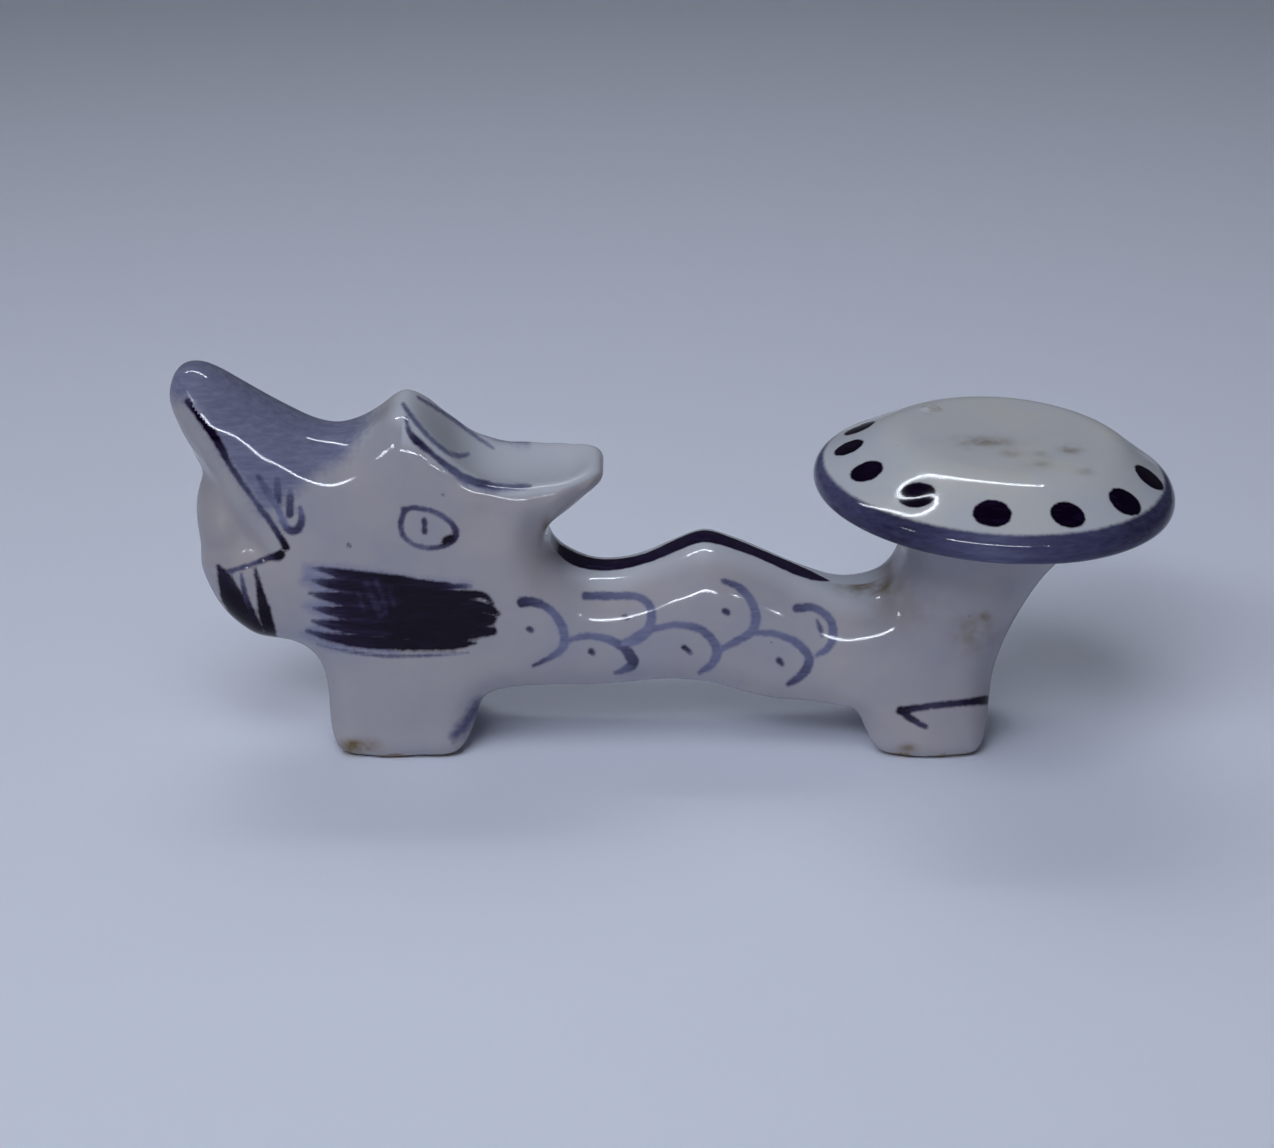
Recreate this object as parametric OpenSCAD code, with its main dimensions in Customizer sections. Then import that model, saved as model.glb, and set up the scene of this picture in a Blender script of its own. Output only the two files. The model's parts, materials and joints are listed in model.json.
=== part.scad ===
// Porcelain rest for a pair of chopsticks and a spoon, in the form of a small scaly beast.
// The head looks along -X, the spoon disc stands on the tail at +X, and the feet stand on Z = 0.
// The origin lies under the middle of the whole length.

/* [Chain of lengths] */
// Snout, from its tip to the joint with the head
snout_l = 10.8; // [8:0.1:14]
// Head, from the jaws' joint to the neck joint
head_l = 25.7; // [23:0.1:32]
// Trunk, from the neck joint to the tail joint
trunk_l = 29.3; // [24:0.1:38]
// From the tail joint to the middle of the disc
disc_reach = 14.2; // [13.5:0.1:18]

/* [Head and jaws] */
// Width across the cheeks
head_w = 15; // [12:0.1:18]
// Height of the brow's valley, between the snout and the crest
brow_z = 32; // [29:0.1:35]
// Height of the snout's top at its tip
snout_z = 38.8; // [36:0.1:42]
// Height of the upper lip's end, at the tip of the snout
lip_z = 35; // [33:0.1:36]
// Height of the corner of the mouth
mouth_z = 21; // [19:0.1:23]
// Height of the lower lip's end, at the front of the chin
lower_lip_z = 18.6; // [16:0.1:20]
// Height of the underside of the chin
chin_z = 10.9; // [9:0.1:13]
// Depth of the mouth's web behind the tip of the snout
web_setback = 2.3; // [2:0.1:5]
// Step of the mouth's web in from the cheeks, on each side
web_step = 0.8; // [0.4:0.1:2]
// Height of the head's back edge, over the neck
nape_z = 22.8; // [21.8:0.1:24]

/* [Crest] */
// Width across the crest
crest_w = 14.2; // [11:0.1:16]
// Height of the crest's peak over the head's slope
crest_peak_h = 5.2; // [4.5:0.05:7]
// Height of the crest's waist over the head's slope
crest_waist_h = 3.2; // [2.4:0.1:4]
// Height of the crest's tip over the line of the head's slope
crest_tip_h = 8.7; // [7.8:0.1:9.5]
// Reach of the crest's tip past the neck joint
crest_overhang = 5.2; // [3:0.1:7]
// Depth of the hollow along the crest's top
crest_dish = 0.8; // [0.3:0.1:1.4]

/* [Trunk] */
// Width across the trunk
trunk_w = 13.4; // [11:0.1:15]
// Height of the trunk's top where it meets the head
neck_z = 20.2; // [19:0.1:21.5]
// Height of the front saddle, which carries the chopsticks
front_saddle_z = 17.6; // [16:0.1:19]
// Height of the hump between the saddles
hump_z = 21; // [20:0.1:23]
// Height of the rear saddle
rear_saddle_z = 15.6; // [14.5:0.1:17.5]
// Height of the trunk's underside at the middle
belly_z = 6.9; // [6.6:0.1:8]

/* [Feet] */
// Height of the front foot
front_foot_h = 6.4; // [5:0.1:6.6]
// Length of the front foot
front_foot_l = 15; // [12:0.1:17]
// Distance of the front foot behind the jaws' joint
front_foot_setback = 4; // [3.4:0.1:4.6]
// Height of the rear foot
rear_foot_h = 4.6; // [4:0.1:5.6]
// Length of the rear foot
rear_foot_l = 12.3; // [10:0.1:13.4]
// Distance of the rear foot behind the tail joint
rear_foot_setback = 1.8; // [1.5:0.1:3]
// Width across the feet
foot_w = 15; // [11:0.1:16]
// Radius of the feet's upright corners
foot_corner_r = 3.4; // [2:0.1:4.5]
// Radius of the edge round the feet's soles
sole_edge_r = 1.3; // [0.8:0.1:2]

/* [Tail] */
// Width across the tail
tail_w = 15.2; // [12:0.1:17]
// Length of the tail's top, under the disc
tail_top_l = 18.6; // [15:0.1:20]
// Distance of the tail's top behind the disc's middle
tail_top_setback = 0.6; // [0:0.1:1.5]
// Width of the tail's top, under the disc
tail_top_w = 16.4; // [13:0.1:18]

/* [Spoon disc] */
// Diameter of the disc
disc_d = 35.4; // [32:0.1:40]
// Diameter of the disc's flat top
disc_flat_d = 24; // [20:0.1:27]
// Height of the middle of the disc's top
disc_z = 31.1; // [29:0.1:34]
// Thickness of the disc at its middle
disc_t = 6.9; // [6.5:0.1:8]
// Fall of the disc's shoulder, from the flat top to the rim
disc_slope = 32; // [26:1:35]
// Tilt of the disc, down towards the back
disc_tilt = 2.65; // [0:0.05:5]
// Radius of the disc's rim
disc_rim_r = 1.7; // [1.2:0.1:2.2]

/* [Hidden] */

// Softened edge where luted pieces meet
joint_edge_r = 0.3;
// Height of the blunt tips of the snout, chin, web and crest
blunt_h = 0.5;
// Margin of the disc's flat underside round the tail's top
seat_margin = 1.3;
// Overrun of the cut that flattens a sole
overrun = 2;
// Steps round each corner of a section, and across half of its top
corner_steps = 5;
crown_steps = 3;

// Profile of the disc, from its flat top over the sloping shoulder to the round rim
rim_bite_share = 0.99;
disc_r = disc_d / 2;
flat_r = disc_flat_d / 2;
rim_x = disc_r - disc_rim_r;
rim_inner_r = disc_rim_r * rim_bite_share;
shoulder_x = rim_x + rim_inner_r * sin(disc_slope);
shoulder_z = -(shoulder_x - flat_r) * tan(disc_slope);
rim_z = shoulder_z - rim_inner_r * cos(disc_slope);

// Underside of the disc: flat over the tail, then straight to the rim
under_flat_r = tail_top_setback + tail_top_l / 2 + seat_margin;
under_l = norm([rim_x - under_flat_r, rim_z + disc_t]);
under_a = atan2(rim_z + disc_t, rim_x - under_flat_r) - asin(rim_inner_r / under_l);
under_slant = sqrt(under_l * under_l - rim_inner_r * rim_inner_r);

// Places along X of the joints, from the tip of the snout to the disc's rim
rim_reach = rim_x * cos(disc_tilt) + rim_z * sin(disc_tilt) + disc_rim_r;
overall_l = snout_l + head_l + trunk_l + disc_reach + rim_reach;
tip_x = -overall_l / 2;
jaw_x = tip_x + snout_l;
neck_x = jaw_x + head_l;
tail_x = neck_x + trunk_l;
disc_x = tail_x + disc_reach;

// Underside of the disc, a plane that follows its tilt
function disc_under_z(x) = disc_z - disc_t / cos(disc_tilt) - (x - disc_x) * tan(disc_tilt);

// Ends of the tail's top under the disc
tail_top_back_x = disc_x + tail_top_setback + tail_top_l / 2;
tail_top_front_x = tail_top_back_x - tail_top_l;
rear_foot_x = tail_x + rear_foot_setback;
rear_foot_end_x = rear_foot_x + rear_foot_l;
front_foot_x = jaw_x + front_foot_setback;

// Smooth curve through a table of [place, value] rows that never overshoots them
function rise(table, i) =
    (table[i + 1][1] - table[i][1]) / (table[i + 1][0] - table[i][0]);
function mean_rise(a, b) = a * b <= 0 ? 0 : 2 * a * b / (a + b);
function tangent(table, i) =
    i == 0 ? rise(table, 0)
    : i == len(table) - 1 ? rise(table, i - 1)
    : mean_rise(rise(table, i - 1), rise(table, i));
function span(table, x, i = 0) =
    i >= len(table) - 2 || x < table[i + 1][0] ? i : span(table, x, i + 1);
function follow(table, x) =
    let (
        i = span(table, x),
        l = table[i + 1][0] - table[i][0],
        u = min(max((x - table[i][0]) / l, 0), 1)
    )
    table[i][1] * (1 + 2 * u) * (1 - u) * (1 - u)
    + table[i + 1][1] * (3 - 2 * u) * u * u
    + tangent(table, i) * l * u * (1 - u) * (1 - u)
    - tangent(table, i + 1) * l * u * u * (1 - u);
function mix(a, b, share) = a + (b - a) * share;

// Half of a section, from the middle of its base up one side to the middle of its top.
// Corners are ellipses: [width, height] of the base's and of the top's.
function half_section(h, w, base, top, dish = 0) = concat(
    [[0, 0]],
    [for (k = [0 : corner_steps])
        let (a = 90 * k / corner_steps)
        [w - base.x + base.x * sin(a), base.y - base.y * cos(a)]],
    [for (k = [0 : corner_steps])
        let (a = 90 * k / corner_steps)
        [w - top.x + top.x * cos(a), h - top.y + top.y * sin(a)]],
    [for (k = [crown_steps - 1 : -1 : 0])
        let (share = k / crown_steps)
        [(w - top.x) * share, h - dish * (1 - share * share)]]
);

// Closed section on the rib from point a to point b, both [x, z]
function ring(a, b, w, base, top, dish = 0) =
    let (
        h = norm(b - a),
        half = half_section(h, w, base, top, dish),
        n = len(half)
    )
    [for (k = [0 : 2 * n - 3])
        let (
            p = k < n ? half[k] : half[2 * n - 2 - k],
            side = k < n ? 1 : -1,
            at = mix(a, b, p.y / h)
        )
        [at.x, side * p.x, at.y]];

// Sides between neighbouring rings of n points each
function side_faces(count, n) =
    [for (r = [0 : count - 2], k = [0 : n - 1])
        let (
            p = r * n + k,
            q = r * n + (k + 1) % n
        )
        each [[p, p + n, q], [q, p + n, q + n]]];

// Solid through a row of rings, closed by flat ends
module loft(rings) {
    n = len(rings[0]);
    last = (len(rings) - 1) * n;
    polyhedron(
        points = [for (r = rings) each r],
        faces = concat(
            side_faces(len(rings), n),
            [[for (k = [0 : n - 1]) k]],
            [[for (k = [0 : n - 1]) last + (n - k) % n]]
        ),
        convexity = 4
    );
}

soft = [joint_edge_r, joint_edge_r];

// Head: profiles along X as shares of its length, heights and width
head_station_shares = [
    0, 0.035, 0.07, 0.105, 0.12, 0.135, 0.145, 0.155, 0.18, 0.21, 0.25, 0.28, 0.32, 0.37,
    0.43, 0.5, 0.58, 0.66, 0.72, 0.78, 0.85, 0.92, 1,
];
seam_start_share = 0.25;
head_brow_shares = [[0, 1.069], [0.07, 1.034], [0.14, 1.01], [0.2, 1], [0.25, 1.004]];
head_under_shares = [[0, 1], [0.06, 0.98], [0.105, 0.87], [0.135, 0.5], [0.155, 0], [1, 0]];
head_width_shares = [[0, 0.8], [0.15, 0.93], [0.35, 1], [0.75, 1], [1, 0.94]];
head_under_round_shares = [[0, 0.45], [0.1, 0.4], [0.2, 0], [0.68, 0], [0.78, 0.45], [1, 0.5]];
head_crown_shares = [[0, 0.9], [0.2, 0.87], [1, 0.87]];
head_shoulder_shares = [[0, 0.9], [0.25, 0.87], [0.33, 0.7], [0.43, 0.4], [0.6, 0.12], [1, 0.08]];

seam_x = jaw_x + head_l * seam_start_share;
seam_z = brow_z * follow(head_brow_shares, seam_start_share);
function seam_height(x) = mix(seam_z, nape_z, (x - seam_x) / (neck_x - seam_x));
function head_top(share) =
    share < seam_start_share
    ? brow_z * follow(head_brow_shares, share)
    : seam_height(jaw_x + head_l * share);
function head_under(share) = mix(front_foot_h, chin_z, follow(head_under_shares, share));
function head_half(share) = head_w / 2 * follow(head_width_shares, share);
function head_crown(share) =
    share < seam_start_share
    ? head_half(share) * follow(head_crown_shares, share)
    : max(head_half(share) - crest_half(jaw_x + head_l * share), joint_edge_r);
function head_ring(share) =
    let (
        x = jaw_x + head_l * share,
        w = head_half(share),
        under_r = max(w * follow(head_under_round_shares, share), joint_edge_r),
        shoulder = w * follow(head_shoulder_shares, share)
    )
    ring([x, head_under(share)], [x, head_top(share)], w, [under_r, under_r],
        [head_crown(share), shoulder]);

module head() {
    color("lavender")
    loft([for (share = head_station_shares) head_ring(share)]);
}

// Upper jaw: from the joint with the head forward to the snout's tip
snout_station_shares = [0, 0.15, 0.3, 0.45, 0.58, 0.7, 0.8, 0.88, 0.94, 0.98, 1];
snout_top_shares = [[0, 0], [0.2, 0.28], [0.4, 0.56], [0.6, 0.83], [0.78, 1], [0.9, 0.93], [0.97, 0.6]];
snout_width_shares = [[0, 1], [0.3, 0.92], [0.6, 0.76], [0.8, 0.62], [0.92, 0.45], [1, 0.12]];
snout_crown_share = 0.8;

function lip_height(x) = mix(mouth_z, lip_z, (jaw_x - x) / snout_l);
function snout_top(share) =
    share < 1
    ? mix(head_top(0), snout_z, follow(snout_top_shares, share))
    : lip_z + blunt_h;
function snout_half(share) = head_half(0) * follow(snout_width_shares, share);

module upper_jaw() {
    color("lightsteelblue")
    loft([for (share = snout_station_shares)
        let (
            x = jaw_x - snout_l * share,
            w = snout_half(share),
            lip = lip_height(x),
            top = max(snout_top(share), lip + blunt_h),
            side = w * follow(head_crown_shares, 0),
            crown = min(side, (top - lip) * snout_crown_share)
        )
        ring([x, lip], [x, top], w, soft * (w / head_half(0)), [side, crown])]);
}

// Lower jaw: the chin, from the joint with the head forward to the lower lip
chin_station_shares = [0, 0.2, 0.4, 0.58, 0.73, 0.85, 0.93, 0.98, 1];
chin_drop_shares = [[0, 1], [0.2, 0.985], [0.4, 0.94], [0.6, 0.83], [0.78, 0.62], [0.93, 0.3], [1, 0.1]];
chin_width_shares = [[0, 1], [0.3, 0.92], [0.55, 0.8], [0.8, 0.6], [0.93, 0.4], [1, 0.15]];
chin_round_share = 0.55;
chin_rise_share = 0.6;
chin_l = snout_l - web_setback;
function lower_lip_height(x) = mix(mouth_z, lower_lip_z, (jaw_x - x) / chin_l);

module lower_jaw() {
    color("lavender")
    loft([for (share = chin_station_shares)
        let (
            x = jaw_x - chin_l * share,
            w = head_half(0) * follow(chin_width_shares, share),
            lip = lower_lip_height(x),
            under = mix(lip, chin_z, follow(chin_drop_shares, share)),
            side = w * chin_round_share,
            r = min(side, (lip - under) * chin_rise_share)
        )
        ring([x, under], [x, lip], w, [side, r], soft * (w / head_half(0)))]);
}

// Web of the mouth: fills the wedge between the two lips
web_station_shares = [0.04, 0.2, 0.4, 0.6, 0.75, 0.86, 0.94, 0.98, 1];
web_width_shares = [[0, 1], [0.4, 0.94], [0.7, 0.82], [0.86, 0.66], [0.95, 0.42], [1, 0.15]];
web_round_share = 0.2;

module mouth_web() {
    color("whitesmoke")
    loft([for (share = web_station_shares)
        let (
            x = jaw_x - chin_l * share,
            w = (head_half(0) - web_step) * follow(web_width_shares, share),
            low = lower_lip_height(x),
            high = lip_height(x),
            r = min(w, high - low) * web_round_share
        )
        ring([x, low], [x, high], w, [r, r], [r, r])]);
}

// Crest: a long leaf laid on the head's sloping top, with its tip over the neck
crest_back_l = neck_x - seam_x;
crest_l = crest_back_l + crest_overhang;
crest_station_shares = [
    0, 0.025, 0.055, 0.09, 0.13, 0.17, 0.2, 0.23, 0.27, 0.33, 0.4, 0.48, 0.56,
    0.64, 0.72, 0.79, 0.85, 0.9, 0.94, 0.97, 0.99, 1,
];
crest_peak_share = 0.23;
crest_waist_share = 0.51;
crest_front_shares = [
    [0, 0.03], [0.055, 0.22], [0.12, 0.56], [0.17, 0.81], [0.2, 0.93], [crest_peak_share, 1],
];
crest_fall_shares = [[crest_peak_share, 1], [0.27, 0.98], [0.33, 0.74], [0.42, 0.22], [crest_waist_share, 0]];
crest_tip_shares = [
    [crest_waist_share, 0], [0.64, 0.15], [0.72, 0.33], [0.8, 0.52], [0.9, 0.78], [0.97, 0.95], [1, 0.96],
];
crest_width_shares = [
    [0, 0.14], [0.055, 0.42], [0.1, 0.64], [0.16, 0.83], [0.23, 0.93], [0.36, 0.99],
    [0.5, 1], [0.7, 0.98], [0.8, 0.92], [0.88, 0.78], [0.94, 0.56], [0.98, 0.32], [1, 0.14],
];
crest_edge_shares = [
    [0, 0.9], [0.12, 0.86], [0.18, 0.66], [0.23, 0.53], [0.34, 0.38], [0.5, 0.32], [1, 0.34],
];
crest_under_shares = [[0, 0], [0.3, 0.3], [0.6, 0.62], [0.85, 0.9], [1, 1]];
crest_dish_shares = [[0, 0], [0.23, 0.1], [0.4, 0.9], [0.6, 1], [0.85, 0.8], [0.95, 0]];
crest_edge_height_share = 0.8;
crest_tip_start_share = 0.8;
crest_tip_round_share = 0.3;

function crest_half(x) = crest_w / 2 * follow(crest_width_shares, (x - seam_x) / crest_l);
function crest_height(share) =
    share < crest_peak_share
    ? crest_peak_h * follow(crest_front_shares, share)
    : share < crest_waist_share
    ? mix(crest_waist_h, crest_peak_h, follow(crest_fall_shares, share))
    : mix(crest_waist_h, crest_tip_h, follow(crest_tip_shares, share));
function crest_rim(share) = seam_height(seam_x + crest_l * share) + crest_height(share);
function crest_under(share) =
    let (x = seam_x + crest_l * share)
    x <= neck_x
    ? seam_height(x)
    : mix(nape_z, crest_rim(1) - blunt_h, follow(crest_under_shares, (x - neck_x) / crest_overhang));

module crest() {
    color("aliceblue")
    loft([for (share = crest_station_shares)
        let (
            x = seam_x + crest_l * share,
            w = crest_half(x),
            low = crest_under(share),
            top = max(crest_rim(share), low + blunt_h),
            edge = w * follow(crest_edge_shares, share),
            r = min(edge, (top - low) * crest_edge_height_share),
            lower_r = share > crest_tip_start_share
                ? min(w, top - low) * crest_tip_round_share
                : joint_edge_r * w / crest_w
        )
        ring([x, low], [x, top], w, [lower_r, lower_r], [edge, r],
            crest_dish * follow(crest_dish_shares, share))]);
}

// Trunk: a roll with a hump between the two saddles that carry the chopsticks
trunk_station_shares = [
    0, 0.025, 0.06, 0.1, 0.15, 0.2, 0.26, 0.32, 0.38, 0.43, 0.48, 0.52, 0.57,
    0.62, 0.68, 0.74, 0.8, 0.86, 0.92, 0.96, 1,
];
saddle_curve_shares = [[0, 0], [0.3, 0.09], [0.55, 0.4], [0.8, 0.82], [1, 1]];
hump_share = 0.517;
front_saddle_share = 0.19;
belly_share = 0.52;
neck_fillet_shares = [[0, 1], [0.15, 0.52], [0.4, 0.16], [1, 0]];
rear_slope_shares = [[0, 0], [0.2, 0.18], [0.5, 0.55], [0.8, 0.9], [1, 1]];
trunk_under_shares = [[0, 0], [0.23, 0.4], [0.4, 1], [belly_share, 0.85]];
tail_under_shares = [[belly_share, 0.85], [0.64, 0.43], [0.78, 0.1], [1, 0]];
trunk_width_shares = [[0, 0.98], [0.3, 0.98], [0.5, 1], [0.75, 0.98], [1, 1.03]];

function trunk_top(share) =
    share < front_saddle_share
    ? mix(front_saddle_z, neck_z, follow(neck_fillet_shares, share / front_saddle_share))
    : share < hump_share
    ? mix(front_saddle_z, hump_z, follow(saddle_curve_shares,
        (share - front_saddle_share) / (hump_share - front_saddle_share)))
    : mix(hump_z, rear_saddle_z, follow(rear_slope_shares,
        (share - hump_share) / (1 - hump_share)));
function trunk_under(share) =
    share < belly_share
    ? mix(front_foot_h, belly_z, follow(trunk_under_shares, share))
    : mix(rear_foot_h, belly_z, follow(tail_under_shares, share));
function trunk_half(share) = trunk_w / 2 * follow(trunk_width_shares, share);
trunk_round_share = 0.5;
trunk_crown_share = 0.8;
function trunk_ring(share) =
    let (
        x = neck_x + trunk_l * share,
        w = trunk_half(share),
        r = w * trunk_round_share,
        crown = w * trunk_crown_share
    )
    ring([x, trunk_under(share)], [x, trunk_top(share)], w, [r, r], [crown, crown]);

module trunk() {
    color("lavender")
    loft([for (share = trunk_station_shares) trunk_ring(share)]);
}

// Feet: rounded blocks under the body, cut flat at their soles
foot_station_shares = [-0.1, 0, 0.04, 0.12, 0.25, 0.45, 0.7, 1];
foot_corner_steps = 6;
foot_corner_share = 0.98;
front_foot_lean_share = 0.12;

function foot_ring(x, l, w, z, inset, lean) =
    let (
        hl = l / 2 - inset - lean / 2,
        hw = w / 2 - inset,
        r = min(foot_corner_r, hl, hw) * foot_corner_share,
        corners = [[1, 1, 0], [-1, 1, 90], [-1, -1, 180], [1, -1, 270]]
    )
    [for (c = corners, k = [0 : foot_corner_steps])
        let (a = c[2] + 90 * k / foot_corner_steps)
        [x + l / 2 - lean / 2 + c[0] * (hl - r) + r * cos(a), c[1] * (hw - r) + r * sin(a), z]];

module foot(x, l, h, lean) {
    difference() {
        loft([for (share = foot_station_shares)
            let (
                z = h * share,
                low = min(max(z / sole_edge_r, 0), 1),
                inset = sole_edge_r * (1 - sqrt(1 - (1 - low) * (1 - low)))
            )
            foot_ring(x, l, foot_w, z, inset, lean * (1 - share) * (1 - share))]);
        translate([x - overrun, -foot_w / 2 - overrun, -h - overrun])
        cube([l + 2 * overrun, foot_w + 2 * overrun, h + overrun]);
    }
}

module front_foot() {
    color("lavender")
    foot(front_foot_x, front_foot_l, front_foot_h, front_foot_l * front_foot_lean_share);
}

module rear_foot() {
    color("lavender")
    foot(rear_foot_x, rear_foot_l, rear_foot_h, 0);
}

// Tail: the roll's end, bent up from the trunk and flared to carry the disc.
// Each row is a rib: share along the base, share up the back, share out at the back,
// share along the front and share up the front.
tail_rib_shares = [
    [0, 0, 0, 0, 0],
    [0.12, 0, 0, 0.22, 0],
    [0.25, 0, 0, 0.42, 0.02],
    [0.42, 0, 0, 0.6, 0.06],
    [0.6, 0, 0, 0.75, 0.13],
    [0.78, 0, 0, 0.85, 0.22],
    [0.93, 0, 0, 0.92, 0.32],
    [1, 0.03, 0, 0.95, 0.4],
    [1, 0.12, 0.03, 0.97, 0.48],
    [1, 0.25, 0.08, 0.98, 0.56],
    [1, 0.4, 0.17, 0.99, 0.65],
    [1, 0.55, 0.3, 0.99, 0.74],
    [1, 0.7, 0.47, 1, 0.83],
    [1, 0.85, 0.7, 1, 0.91],
    [1, 1, 1, 1, 1],
];
tail_width_shares = [[0, 0], [4, 0.6], [8, 1], [14, 1]];
tail_flare_shares = [[0, 0], [9, 0], [14, 1]];
tail_base_round_shares = [[0, 0.5], [1, 0.45], [3, 0], [6, 0], [9, 0.5], [14, 0.6]];
tail_crown_shares = [[0, 0.8], [5, 0.62], [14, 0.6]];

module tail_stem() {
    color("lavender")
    loft([for (i = [0 : len(tail_rib_shares) - 1])
        let (
            s = tail_rib_shares[i],
            body_half = mix(trunk_half(1), tail_w / 2, follow(tail_width_shares, i)),
            w = mix(body_half, tail_top_w / 2, follow(tail_flare_shares, i)),
            a = [
                mix(tail_x, rear_foot_end_x, s[0]) + (tail_top_back_x - rear_foot_end_x) * s[2],
                mix(rear_foot_h, disc_under_z(tail_top_back_x), s[1])
            ],
            b = [
                mix(tail_x, tail_top_front_x, s[3]),
                mix(rear_saddle_z, disc_under_z(tail_top_front_x), s[4])
            ],
            base_r = max(w * follow(tail_base_round_shares, i), joint_edge_r),
            crown = w * follow(tail_crown_shares, i)
        )
        ring(a, b, w, [base_r, base_r], [crown, min(crown, norm(b - a) / 2)])]);
}

// Disc: flat top, sloping shoulder and round rim, turned about its own axis
module tail_disc() {
    color("aliceblue")
    translate([disc_x, 0, disc_z])
    rotate([0, disc_tilt, 0])
    union() {
        rotate_extrude($fn = 96)
        polygon([
            [0, 0],
            [flat_r, 0],
            [shoulder_x, shoulder_z],
            [rim_x, rim_z],
            [under_flat_r + under_slant * cos(under_a), under_slant * sin(under_a) - disc_t],
            [under_flat_r, -disc_t],
            [0, -disc_t],
        ]);
        rotate_extrude($fn = 96)
        translate([rim_x, rim_z])
        circle(r = disc_rim_r, $fn = 48);
    }
}

upper_jaw();
lower_jaw();
mouth_web();
head();
crest();
trunk();
front_foot();
rear_foot();
tail_stem();
tail_disc();
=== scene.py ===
import json
import math

import bmesh
import bpy
import numpy as np
from mathutils import Matrix, Vector


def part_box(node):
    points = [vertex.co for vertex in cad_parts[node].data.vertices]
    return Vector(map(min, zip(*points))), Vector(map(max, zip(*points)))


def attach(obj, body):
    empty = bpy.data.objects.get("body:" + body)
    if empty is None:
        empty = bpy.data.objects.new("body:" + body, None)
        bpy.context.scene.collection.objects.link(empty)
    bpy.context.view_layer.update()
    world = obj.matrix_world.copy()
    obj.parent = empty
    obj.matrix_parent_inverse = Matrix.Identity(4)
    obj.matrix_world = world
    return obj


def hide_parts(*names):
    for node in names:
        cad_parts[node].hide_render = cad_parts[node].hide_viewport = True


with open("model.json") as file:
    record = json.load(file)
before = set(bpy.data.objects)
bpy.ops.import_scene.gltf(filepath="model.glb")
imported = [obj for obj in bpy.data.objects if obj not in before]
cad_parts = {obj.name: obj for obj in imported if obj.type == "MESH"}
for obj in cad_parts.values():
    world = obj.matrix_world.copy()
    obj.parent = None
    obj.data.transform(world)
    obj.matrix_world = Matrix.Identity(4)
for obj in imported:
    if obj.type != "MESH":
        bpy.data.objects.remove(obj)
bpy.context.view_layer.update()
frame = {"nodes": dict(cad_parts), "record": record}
mm = 0.001
print("frame loaded:", len(frame["nodes"]), "solids")

# Joints between the pieces, in millimetres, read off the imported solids
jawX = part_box("head")[0].x / mm
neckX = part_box("head")[1].x / mm
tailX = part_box("trunk")[1].x / mm
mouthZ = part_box("lower_jaw")[1].z / mm
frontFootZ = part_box("front_foot")[1].z / mm
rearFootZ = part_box("rear_foot")[1].z / mm
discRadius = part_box("tail_disc")[1].y / mm
discMount = next(m for m in frame["record"]["mounts"] if m["name"] == "disc_top")
discTop = Vector(discMount["pos_m"]) / mm
discAxis = Vector(discMount["axis"]).normalized()
discTilt = math.atan2(discAxis.x, discAxis.z)


def addObject(name, data):
    made = bpy.data.objects.new(name, data)
    bpy.context.scene.collection.objects.link(made)
    return made


# The view that the object is dressed and shown from
view = {
    "elevation": 24.0,
    "distance": 280.0,
    "lens": 80.0,
    "sensor": 36.0,
    "clipStart": 0.01,
    "target": (-3.7, 0.0, 16.7),
    "imageWidth": 1274,
    "imageHeight": 1148,
}


def viewAxes():
    tilt = math.radians(view["elevation"])
    forward = np.array([0.0, math.cos(tilt), -math.sin(tilt)])
    right = np.array([1.0, 0.0, 0.0])
    return forward, right, np.cross(right, forward)


def toPicture(points):
    # Where points of the object (mm) stand in the view, in its pixels
    forward, right, up = viewAxes()
    eye = np.array(view["target"]) - forward * view["distance"]
    focal = view["lens"] / view["sensor"] * view["imageWidth"]
    ray = points - eye
    depth = ray @ forward
    across = view["imageWidth"] / 2 + focal * (ray @ right) / depth
    down = view["imageHeight"] / 2 - focal * (ray @ up) / depth
    return np.stack([across, down], axis=1)


def makeCamera():
    forward, right, up = viewAxes()
    data = bpy.data.cameras.new("viewCamera")
    data.lens = view["lens"]
    data.sensor_width = view["sensor"]
    data.clip_start = view["clipStart"]
    camera = addObject("viewCamera", data)
    eye = (np.array(view["target"]) - forward * view["distance"]) * mm
    turn = Matrix((right, up, -forward)).transposed()
    camera.matrix_world = Matrix.Translation(Vector(eye)) @ turn.to_4x4()
    bpy.context.scene.camera = camera


makeCamera()


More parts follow.
